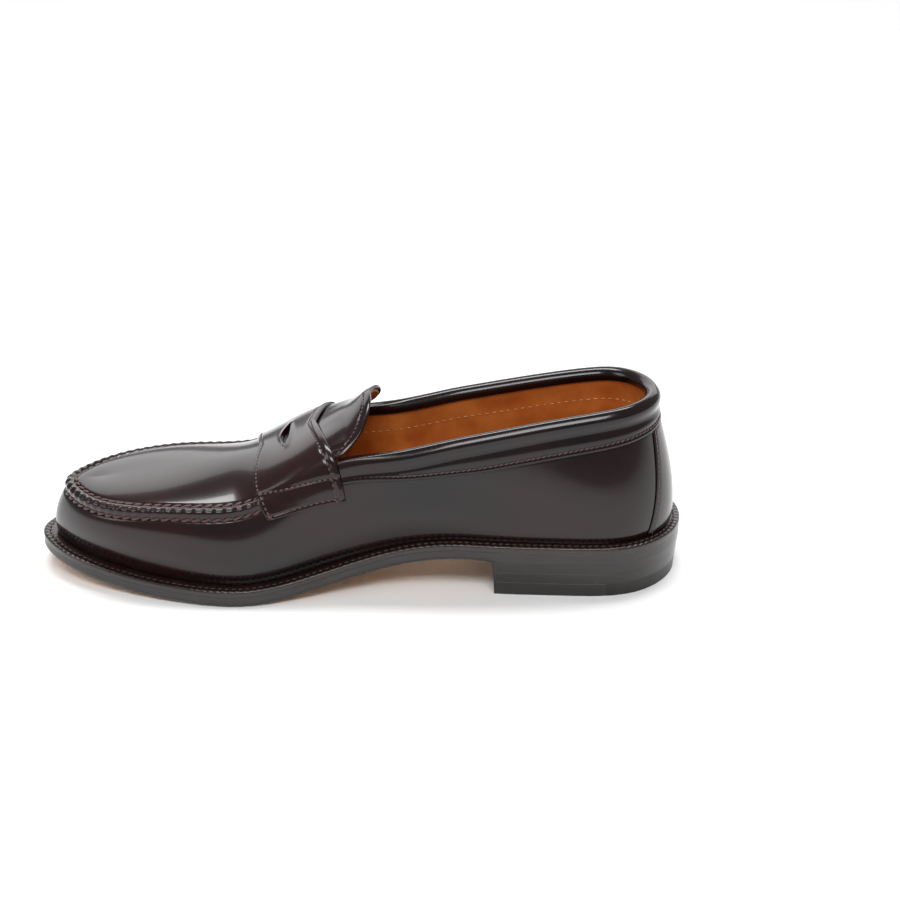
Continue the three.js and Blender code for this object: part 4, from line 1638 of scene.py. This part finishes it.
@dataclass
class Topline(Assembly):
    """The rolled collar round the opening and the panel down the back of the heel."""

    at_back: float = 13.0
    at_side: float = 15.5
    at_strap: float = 9.5
    end: float = 6.74
    row: float = 2.3
    panel_top: float = 25.0
    panel_bottom: float = 62.0
    panel_row: float = 2.0
    under: float = 0.35
    chain: Thread = Thread(pitch=2.4, length=2.3, width=0.85, height=0.6, skew=14)
    stitch: Thread = Thread(pitch=2.3, length=1.65, width=0.6, height=0.45)

    def depth(self, t: Array) -> Array:
        """Height of the collar band at a station.

        Args:
            t: Stations round the shoe.

        Returns:
            Millimetres.
        """
        side = self.last.side_of(t)
        height = mix(self.at_back, self.at_side, smooth(0, 4.5, side))
        return mix(height, self.at_strap, smooth(4.8, self.last.strap_rear, side))

    def section(self, depth: float, close: float) -> Array:
        """The collar's section as depth under the topline and offset from the upper.

        Args:
            depth: height of the band.
            close: 0 where the roll is full, 1 where it has flattened out at the strap.

        Returns:
            Points of the closed section.
        """
        full = 1.0 - 0.65 * close
        band = [
            (depth, 0.1), (depth + 0.1, 0.4), (depth - 0.05, 0.85), (depth - 0.9, 1.25),
            (depth - self.row, 1.0), (depth - self.row - 1.3, 1.45), (mix(depth, 6.2, 0.62), 1.7),
            (6.2, 1.55),
        ]  # fmt: skip
        roll = [
            (4.7, 1.55 + 0.55 * full), (3.1, 1.6 + 1.35 * full), (1.2, 1.6 + 1.7 * full),
            (-0.6, 1.4 + 1.3 * full), (-1.9 * full - 0.4, 1.4), (-2.3 * full - 0.3, -0.3), (-2.0, -2.0),
            (-0.8, -3.3), (0.8, -3.75), (2.2, -3.6), (2.6, -3.2),
        ]  # fmt: skip
        hidden = [(1.4, -3.02), (-0.25, -3.0), (-0.3, 0.3), (mix(0.3, depth, 0.5), self.under)]
        line = catmull(band + roll, 3)[: 3 * (len(band + roll) - 1) + 1]
        return np.concatenate([line, np.array(hidden)])

    def build(self) -> None:
        """Builds and dresses every piece."""
        last = self.last
        collar = self._collar()
        self.keep(collar, self.wardrobe.cordovan, Slot.UPPER, ["collar"])
        t = np.linspace(-self.end + 0.12, self.end - 0.12, 420)
        s = 1 - (self.depth(t) - self.row) / last.rise(t)
        rows = [(last.layer(t, s, np.full_like(t, 1.22)), last.normal(t, s))]
        chain = self.sewing.sew("collar_stitches", rows, self.chain, self.wardrobe.dark_thread)
        self.keep(chain, None, None)
        self._panel()

    def _collar(self) -> Piece:
        """Sweeps the section round the topline from strap to strap.

        Returns:
            The collar.
        """
        last = self.last
        stations = np.linspace(-self.end, self.end, 241)
        loops = []
        for t in stations:
            side = abs(t)
            close = float(smooth(5.7, self.end, np.array(side)))
            section = self.section(float(self.depth(np.array(t))), close)
            depth, offset = section[:, 0], section[:, 1]
            s = np.clip(1 - depth / last.rise(np.array(t)), 0, 1)
            ends = last.strap_rear_at(s) - self.last.strap_rear
            shift = ends * smooth(5.4, self.end, np.array(side)) * np.sign(t)
            at = np.full_like(s, t) + shift
            point = last.layer(at, s, offset)
            above = last.surface(at, np.ones_like(s)) - last.surface(at, np.full_like(s, 0.95))
            loops.append(point + unit(above) * np.maximum(-depth, 0.0)[:, None])
        count = len(loops[0])
        faces: list[Sequence[int]] = ring_faces(len(loops), count, closed=False)
        faces += [tuple(range(count)), tuple(range(len(loops) * count - 1, (len(loops) - 1) * count - 1, -1))]
        piece = raw_mesh("collar_leather", last.placed(np.concatenate(loops)), faces)
        return edge_shaded(piece, 60.0)

    def _panel_station(self, side: Array, share: Array) -> tuple[Array, Array]:
        """Station and height on the back panel, side from -1 to 1 and share from 0 to 1.

        Args:
            side: Place across.
            share: Place upwards.

        Returns:
            Stations and heights.
        """
        last = self.last
        seam = 1 - self.depth(np.array(0.0)) / last.rise(np.array(0.0))
        near = mix(0.012, seam, share)
        half = mix(self.panel_bottom, self.panel_top, near) / 2
        t = side * half * last.sections_per_mm(np.zeros_like(near), near)
        top = 1 - (self.depth(t) + 0.1) / last.rise(t)
        return t, mix(0.012, top, share)

    def _panel(self) -> None:
        """The back panel and its two rows of stitches."""
        last = self.last
        side, share = np.meshgrid(spread((-1, -0.8, 10), (-0.8, 0.8, 26), (0.8, 1, 10)), spread((0, 1, 40)))
        t, s = self._panel_station(side.T, share.T)
        half = mix(self.panel_bottom, self.panel_top, s) / 2
        from_edge = (1 - np.abs(side.T)) * half
        face = 0.85 - 0.35 * bump(from_edge, 0, 0.9) - 0.2 * bump(from_edge, self.panel_row, 0.5)
        piece = self.sheet("back_panel_leather", (t, s), (face, 0.02))
        self.keep(piece, self.wardrobe.cordovan, Slot.UPPER, ["back_panel"])
        rows = []
        share = np.linspace(0.01, 0.995, 60)
        for sign in (-1, 1):
            half = mix(self.panel_bottom, self.panel_top, share) / 2
            t, s = self._panel_station(sign * (1 - self.panel_row / half), share)
            rows.append((last.layer(t, s, np.full_like(t, 0.72)), last.normal(t, s)))
        stitches = self.sewing.sew("panel_stitches", rows, self.stitch, self.wardrobe.dark_thread)
        self.keep(stitches, None, None)


@dataclass
class Lining(Assembly):
    """The tan linings of the vamp and the two quarters, and the sock."""

    depth: float = 1.9
    thickness: float = 1.0
    packed: float = 1.3
    row: float = 13.0
    sock_inset: float = 5.1
    sock_base: float = 11.6
    sock_thickness: float = 0.8
    stitch: Thread = Thread(pitch=3.4, length=2.2, width=0.5, height=0.4)

    def face(self, t: Array, s: Array) -> Array:
        """Offset of the lining's hidden face, pushed in by the stiffeners.

        Args:
            t: Stations round the shoe.
            s: Heights: 0 the welt, 1 the edge, 2 the ridge.

        Returns:
            Millimetres, negative inwards.
        """
        side = self.last.side_of(t)
        counter = (1 - smooth(4.35, 5.3, side)) * (1 - smooth(0.66, 0.86, s))
        puff = smooth(9.9, 10.57, side) * (1 - smooth(1.45, 1.75, s))
        return -self.depth - self.packed * np.maximum(counter, puff)

    def build(self) -> None:
        """Builds and dresses every piece."""
        self._quarters()
        self._vamp()
        self._sock()

    def _quarters(self) -> None:
        """The two quarter linings and the row of pale stitches under the topline."""
        last = self.last
        rows = []
        s = spread((0.0, 1.0, 40))
        for outer, name in ((True, "lateral_quarter_lining"), (False, "medial_quarter_lining")):
            end = last.strap_rear_at(s) - 0.4 * last.sections_per_mm(last.strap_rear_at(s), s)
            side = mix(0.012, end[None, :], spread((0, 1, 90))[:, None])
            heights = np.broadcast_to(s[None, :], side.shape)
            t = last.sided(side, outer)
            top = self.face(t, heights)
            piece = self.sheet(name + "_calf", (t, heights), (top, top - self.thickness))
            self.keep(piece, self.wardrobe.lining, Slot.LINING, [name])
            line = last.sided(np.linspace(0.05, 6.6, 160), outer)
            height = 1 - self.row / last.rise(line)
            offset = self.face(line, height) - self.thickness - 0.08
            rows.append((last.layer(line, height, offset), -last.normal(line, height)))
        stitches = self.sewing.sew("lining_stitches", rows, self.stitch, self.wardrobe.pale_thread)
        self.keep(stitches, None, None)

    def _vamp(self) -> None:
        """The vamp lining, from the strap to the toe."""
        last = self.last
        heights, outer_side = over_the_top(spread((0.0, 1.0, 18), (1.0, 2.0, 18)))
        start = last.strap_rear_at(heights)[None, :]
        side = mix(start, last.toe, spread((0, 1, 60))[:, None])
        grid_s = np.broadcast_to(heights[None, :], side.shape)
        t = last.sided(side, outer_side[None, :])
        top = self.face(t, grid_s)
        depths = (top, top - self.thickness)
        piece = self.sheet("vamp_lining_calf", (t, grid_s), depths, [Rim.LAST_ROW])
        self.keep(piece, self.wardrobe.lining, Slot.LINING, ["vamp_lining"])

    def _sock_rim(self, depth: float) -> Callable[[Array], Array]:
        """How far the sock lies inside the welt's rim, further in by a depth."""
        return lambda t: self.last.extension(t) + self.sock_inset + depth

    def _sock(self) -> None:
        """The thin sock on the insole."""
        plate = Plate(self.last)
        base, top = self.sock_base, self.sock_base + self.sock_thickness
        section = [(6.0, top), (0.3, top), (0.0, top - 0.3), (0.0, base), (6.0, base)]
        profile = [(self._sock_rim(depth), height) for depth, height in section]
        piece = plate.build("sock_leather_cover", profile)
        self.keep(piece, self.wardrobe.sock, Slot.SOCK, ["sock_lining"])


@dataclass
class Plate:
    """A plate of the bottom: an edge profile right round, and straight rungs from side to side."""

    last: Last
    around: int = 416
    across: int = 14

    def build(
        self,
        name: str,
        profile: Sequence[tuple[Callable[[Array], Array], float]],
        edge_spans: Sequence[int] = (),
    ) -> Piece:
        """Builds the plate.

        Args:
            name: the piece's name.
            profile: from the top's inner loop to the bottom's, how far each loop is inset at a
                station and how high it is over the tread.
            edge_spans: which spans of the profile take the second material.

        Returns:
            The closed plate.
        """
        last = self.last
        count = self.around
        t = np.arange(count) * last.sections / count
        loops = [last.rim(t, inset(t), height) for inset, height in profile]
        faces: list[Sequence[int]] = ring_faces(len(loops), count, closed=False)
        finishes = [1 if k // count in edge_spans else 0 for k in range(len(faces))]
        points = list(loops)
        start = len(loops) * count
        half = count // 2
        for loop, height, flip in ((loops[0], profile[0][1], False), (loops[-1], profile[-1][1], True)):
            far = loop[(count - np.arange(half + 1)) % count]
            share = np.linspace(0, 1, self.across)[None, :, None]
            rungs = mix(loop[: half + 1][:, None, :], far[:, None, :], share)
            rungs[..., 2] = last.tread(rungs[..., 0]) + height
            faces += quads(half + 1, self.across, start, flip=flip)
            finishes += [0] * (half * (self.across - 1))
            points.append(rungs.reshape(-1, 3))
            start += rungs.shape[0] * rungs.shape[1]
        return raw_mesh(name, last.placed(np.concatenate(points)), faces, np.array(finishes))


@dataclass
class Bottom(Assembly):
    """The welt with its wheeled top and stitches, and the outsole with its bevelled edge."""

    pitch: float = 3.1
    tuck: float = 5.7
    groove: float = 3.0
    wheel: float = 0.26
    stitch: Thread = Thread(pitch=3.1, length=2.3, width=0.9, height=0.6, skew=8, sink=0.05)
    channel: float = 5.2
    stitched_from: float = 96.0  # the channel's stitches start just ahead of the heel
    sole_stitch: Thread = Thread(pitch=3.1, length=2.4, width=0.8, height=0.5, sink=0.0)

    def build(self) -> None:
        """Builds and dresses every piece."""
        self._welt()
        self._outsole()

    def even_stations(self, count: int) -> Array:
        """Stations that are evenly spaced along the rim.

        Args:
            count: How many.

        Returns:
            The stations.
        """
        dense = np.linspace(0, self.last.sections, 5201)
        rim = self.last.spline(self.last.sole_polygon, dense)
        length = np.concatenate([[0], np.cumsum(np.linalg.norm(np.diff(rim, axis=0), axis=1))])
        self.perimeter = float(length[-1])
        return np.interp(np.arange(count) * length[-1] / count, length, dense)

    def _welt(self) -> None:
        """Sweeps the welt's section right round, with a mark of the wheel at every stitch."""
        last = self.last
        self.even_stations(8)
        marks = round(self.perimeter / self.pitch)
        count = marks * 5
        t = self.even_stations(count)
        phase = np.arange(count) % 5 / 5
        ridge = self.wheel * (0.5 - 0.5 * np.cos(2 * np.pi * phase)) - self.wheel / 2
        width = last.extension(t) + self.tuck
        base, top = last.outsole + 0.02, last.welt_top
        section = [
            (None, base, 0), (0.2, base, 0), (0.04, base + 0.05, 0), (0.0, base + 0.2, 0),
            (0.0, top - 1.0, 0), (0.12, top - 0.45, 0.2), (0.5, top - 0.1, 0.8), (1.1, top + 0.02, 1),
            (1.8, top + 0.04, 1), (2.4, top - 0.06, 0.7), (self.groove, top - 0.32, 0.35),
            (3.6, top - 0.1, 0.5), (4.2, top, 0.2), (None, top, 0),
        ]  # fmt: skip
        loops = []
        for inset, height, share in section:
            deep = width if inset is None else np.full_like(t, inset)
            loops.append(last.rim(t, deep, height + ridge * share))
        faces = ring_faces(len(loops), count, closed=True)
        piece = raw_mesh("welt_leather", last.placed(np.concatenate(loops)), faces)
        self.keep(edge_shaded(piece, 55.0), self.wardrobe.welt, Slot.EDGE, ["welt"])
        line = last.rim(t, np.full_like(t, self.groove), last.welt_top - 0.05)
        up = np.zeros_like(line)
        up[:, 2] = 1.0
        thread = self.wardrobe.welt_thread
        stitches = self.sewing.sew("welt_stitches", [(line, up)], self.stitch, thread, closed=True)
        self.keep(stitches, None, None)

    def trimmed(self, inset: float) -> Callable[[Array], Array]:
        """An inset of the outsole's edge, which is square over the heel and shaped ahead of it.

        Args:
            inset: Millimetres inside the rim.

        Returns:
            A function from stations to insets.
        """

        def at(t: Array) -> Array:
            """The inset at stations.

            Args:
                t: Stations round the shoe.

            Returns:
                Millimetres.
            """
            ahead = smooth(84, 100, self.last.spline(self.last.sole_polygon, t)[..., 0])
            square = inset if inset > self.channel - 1 else 0.02
            return mix(square, inset, ahead)

        return at

    def _outsole(self) -> None:
        """The outsole: inked edge, bevelled below, and a stitched channel on the underside."""
        top = self.last.outsole
        profile = [
            (10.0, top), (0.5, top), (0.04, top), (0.0, top - 0.2), (0.0, 2.6), (-0.12, 2.25), (-0.12, 1.95),
            (0.1, 1.6), (0.25, 1.1), (0.55, 0.45), (1.3, 0.0), (self.channel - 0.9, 0.0),
            (self.channel - 0.5, 0.4), (self.channel + 0.5, 0.4), (self.channel + 0.9, 0.0), (10.0, 0.0),
        ]  # fmt: skip
        plate = Plate(self.last)
        loops = [(self.trimmed(inset), height) for inset, height in profile]
        piece = plate.build("outsole_bend", loops, range(1, 10))
        edge_shaded(piece, 40.0)
        piece.data.materials.append(self.wardrobe.bend)
        piece.data.materials.append(self.wardrobe.edge)
        self.keep(piece, None, Slot.SOLE, ["outsole"])
        t = self.even_stations(900)
        ahead = self.last.spline(self.last.sole_polygon, t)[:, 0] > self.stitched_from
        t = np.sort(t[ahead])
        line = self.last.rim(t, np.full_like(t, self.channel), 0.36)
        down = np.zeros_like(line)
        down[:, 2] = -1.0
        row = [(line, down)]
        stitches = self.sewing.sew("outsole_stitches", row, self.sole_stitch, self.wardrobe.natural_thread)
        self.keep(stitches, None, None)


@dataclass
class Heel(Assembly):
    """Two leather lifts and a top piece of leather in front and rubber behind, keyed by a dovetail."""

    breast: float = 88.0
    taper: float = 0.6
    top_piece: float = 6.3
    lift: float = 5.0
    gap: float = 0.3
    line: float = 36.0
    reach: float = 20.0
    neck: float = 12.0
    head: float = 18.0
    bevel: float = 0.03
    flush: float = 0.05  # how far the top of the heel is set in from the outsole's rim
    joint: float = 0.01  # the line left between two layers

    def crossing(self, inset: float, x: float, outer: bool) -> float:
        """Station where the inset rim crosses a line across the shoe.

        Args:
            inset: Millimetres inside the rim.
            x: Where the line is.
            outer: Whether on the outer side.

        Returns:
            The station, counted from the back.
        """
        low, high = 0.3, 8.0
        for _ in range(40):
            middle = (low + high) / 2
            at = np.array(float(self.last.sided(np.array(middle), outer)))
            found = float(self.last.rim(at, np.array(inset), 0.0)[0])
            low, high = (middle, high) if found < x else (low, middle)
        return low

    def arc(self, inset: float, start: float, end: float, count: int) -> Array:
        """Points of the inset rim between two signed stations."""
        t = np.linspace(start, end, count)
        return self.last.rim(t, np.full_like(t, inset), 0.0)[:, :2]

    def block(
        self,
        name: str,
        outline: Callable[[float], Array],
        heights: tuple[float, float],
        insets: tuple[float, float],
    ) -> Piece:
        """A heel layer between two heights, with an inset of its outline at its base and at its top.

        Args:
            name: Its name.
            outline: Gives the outline of an inset.
            heights: Base and top.
            insets: At the base and at the top.

        Returns:
            The layer.
        """
        (base, top), (low, high) = heights, insets
        b = self.bevel
        loops = []
        for inset, z in ((low + b, base), (low, base + b), (high, top - b), (high + b, top)):
            flat = outline(inset)
            loops.append(np.hstack([flat, np.full((len(flat), 1), z)]))
        count = len(loops[0])
        faces: list[Sequence[int]] = ring_faces(len(loops), count, closed=False)
        faces += [tuple(range(count)), tuple(range(4 * count - 1, 3 * count - 1, -1))]
        piece = raw_mesh(name, self.last.placed(np.concatenate(loops)), faces)
        return edge_shaded(piece, 30.0)

    def full(self, inset: float) -> Array:
        """Outline of a whole layer, with its straight breast.

        Args:
            inset: Millimetres inside the rim.

        Returns:
            Points in the plane.
        """
        x = self.breast - (inset - self.taper) * 0.4
        inner, outer = self.crossing(inset, x, False), self.crossing(inset, x, True)
        curve = self.arc(inset, -inner, outer, 160)
        y = np.linspace(curve[-1, 1], curve[0, 1], 12)[1:-1]
        return np.vstack([curve, np.stack([np.full_like(y, x), y], axis=1)])

    def key(self, grow: float) -> list[tuple[float, float]]:
        """The dovetail between rubber and leather, from the outer side to the inner.

        Args:
            grow: Clearance in millimetres.

        Returns:
            Four corners.
        """
        line, far = self.line + grow, self.line + self.reach + grow
        neck, head = self.neck + grow, self.head + grow
        return [(line, neck), (far, head), (far, -head), (line, -neck)]

    def rubber(self, inset: float) -> Array:
        """Outline of the rubber rear of the top piece."""
        inner, outer = (self.crossing(inset, self.line, side) for side in (False, True))
        return np.vstack([self.arc(inset, -inner, outer, 120), np.array(self.key(0.0))])

    def front(self, inset: float) -> Array:
        """Outline of the leather front of the top piece.

        Args:
            inset: Millimetres inside the rim.

        Returns:
            Points in the plane.
        """
        x = self.breast - (inset - self.taper) * 0.4
        line = self.line + 0.08
        outer = self.arc(inset, self.crossing(inset, line, True), self.crossing(inset, x, True), 40)
        inner = self.arc(inset, -self.crossing(inset, x, False), -self.crossing(inset, line, False), 40)
        return np.vstack([outer, inner, np.array(self.key(0.08))[::-1]])

    def build(self) -> None:
        """Builds and dresses every piece."""
        pitch = self.lift + self.gap
        first = self.top_piece + self.gap / 2
        edges = (0.0, first, first + pitch, self.last.heel_height)
        insets = (3 * self.taper, 2 * self.taper, self.taper, self.flush)
        edge, rubber = self.wardrobe.edge, self.wardrobe.rubber
        for name, node, outline, layer, material, slot in (
            ("top_piece_rubber", "top_piece_insert", self.rubber, 0, rubber, Slot.RUBBER),
            ("top_piece_leather", "top_piece", self.front, 0, edge, Slot.EDGE),
            ("heel_lift_lower_leather", "heel_lift_lower", self.full, 1, edge, Slot.EDGE),
            ("heel_lift_upper_leather", "heel_lift_upper", self.full, 2, edge, Slot.EDGE),
        ):
            heights = (edges[layer], edges[layer + 1] - self.joint)
            piece = self.block(name, outline, heights, insets[layer : layer + 2])
            self.keep(piece, material, slot, [node])


@dataclass
class Inside:
    """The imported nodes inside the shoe, which keep their shape and get their real materials."""

    wardrobe: Wardrobe
    leather: tuple[str, ...] = ("insole", "insole_rib")
    board: tuple[str, ...] = ("heel_counter", "toe_puff")

    def dress(self) -> None:
        """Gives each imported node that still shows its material."""
        wardrobe = self.wardrobe
        finishes = {name: wardrobe.insole for name in self.leather}
        finishes |= {name: wardrobe.board for name in self.board}
        finishes |= {"cork_filler": wardrobe.cork, "shank": wardrobe.steel}
        for name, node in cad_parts.items():
            kind = "heel_nail" if name.startswith("heel_nail") else name
            material = finishes.get(name)
            if kind == "heel_nail":
                material = wardrobe.steel
            if name.startswith("top_piece_nail"):
                material = wardrobe.brass
            if material is not None:
                node = bpy.data.objects[node] if isinstance(node, str) else node
                node.data.materials.clear()
                node.data.materials.append(material)
                LOG.info("%s: %s", name, material.name)


@dataclass
class Studio:
    """White paper, a wide softbox behind in place of a wall, a soft light overhead, front and toe softboxes
    and the camera.
    """

    wardrobe: Wardrobe
    camera_place: tuple[float, float, float] = (0.0628, 0.7084, 0.385)
    camera_pitch: float = 24.9
    lens: float = 67.48

    def build(self) -> None:
        """Sets everything up."""
        self._floor()
        self._light("wall_softbox", (0.05, -2.3, 1.15), (0.05, 0.0, 0.05), (4.4, 1.5), 34.0)
        self._light("overhead_softbox", (0.05, -0.35, 1.45), (0.06, 0.0, 0.0), (1.3, 0.35), 20.0)
        self._light("front_softbox", (0.05, 0.95, 1.25), (0.05, 0.0, 0.05), (0.9, 0.5), 13.0)
        self._light("toe_softbox", (1.5, 0.5, 0.9), (0.1, 0.0, 0.04), (0.6, 0.9), 5.0)
        self._world()
        self._camera()
        bpy.context.scene.view_settings.view_transform = "Standard"

    def _floor(self) -> None:
        """A wide sheet of paper under the shoe."""
        half, z = 15.0, float(CAD_BOX[0][2])
        mesh = bpy.data.meshes.new("paper_floor")
        corners = [(-half, -half, z), (half, -half, z), (half, half, z), (-half, half, z)]
        mesh.from_pydata(corners, [], [(0, 1, 2, 3)])
        floor = bpy.data.objects.new("paper_floor", mesh)
        bpy.context.scene.collection.objects.link(floor)
        mesh.materials.append(self.wardrobe.paper)

    def _light(
        self,
        name: str,
        place: Sequence[float],
        target: Sequence[float],
        size: tuple[float, float],
        power: float,
    ) -> None:
        """Hangs a softbox that faces a target.

        Args:
            name: Its name.
            place: Where it hangs.
            target: What it faces.
            size: Width and height.
            power: Watts.
        """
        lamp = bpy.data.lights.new(name, "AREA")
        lamp.shape = "RECTANGLE"
        lamp.size, lamp.size_y = size
        lamp.energy = power
        box = bpy.data.objects.new(name, lamp)
        box.location = place
        away = np.array(place) - np.array(target)
        flat = math.hypot(away[0], away[1])
        box.rotation_euler = (math.atan2(flat, away[2]), 0.0, math.atan2(away[0], -away[1]))
        bpy.context.scene.collection.objects.link(box)

    def _world(self) -> None:
        """Dim even light from the white room."""
        world = bpy.data.worlds.new("studio")
        world.use_nodes = True
        world.node_tree.nodes["Background"].inputs["Color"].default_value = linear("#f2f4f7")
        world.node_tree.nodes["Background"].inputs["Strength"].default_value = 0.3
        bpy.context.scene.world = world

    def _camera(self) -> None:
        """Looks down along -Y at the outer side of the shoe."""
        lens = bpy.data.cameras.new("camera")
        lens.lens = self.lens
        lens.sensor_width = 36.0
        camera = bpy.data.objects.new("camera", lens)
        camera.location = self.camera_place
        camera.rotation_euler = (math.radians(90 - self.camera_pitch), 0.0, math.pi)
        bpy.context.scene.collection.objects.link(camera)
        bpy.context.scene.camera = camera


def main() -> None:
    """Builds the shoe piece by piece, then the studio."""
    logging.basicConfig(level=logging.INFO, format="%(message)s")
    wardrobe = Wardrobe()
    last = Last()
    sewing = Sewing(last)
    shared = (last, wardrobe, sewing)
    for assembly in (
        Moccasin(*shared),
        Strap(*shared),
        Tongue(*shared),
        Topline(*shared),
        Lining(*shared),
        Bottom(*shared),
        Heel(*shared),
    ):
        assembly.build()
    Inside(wardrobe).dress()
    Studio(wardrobe).build()


if __name__ == "__main__":
    main()
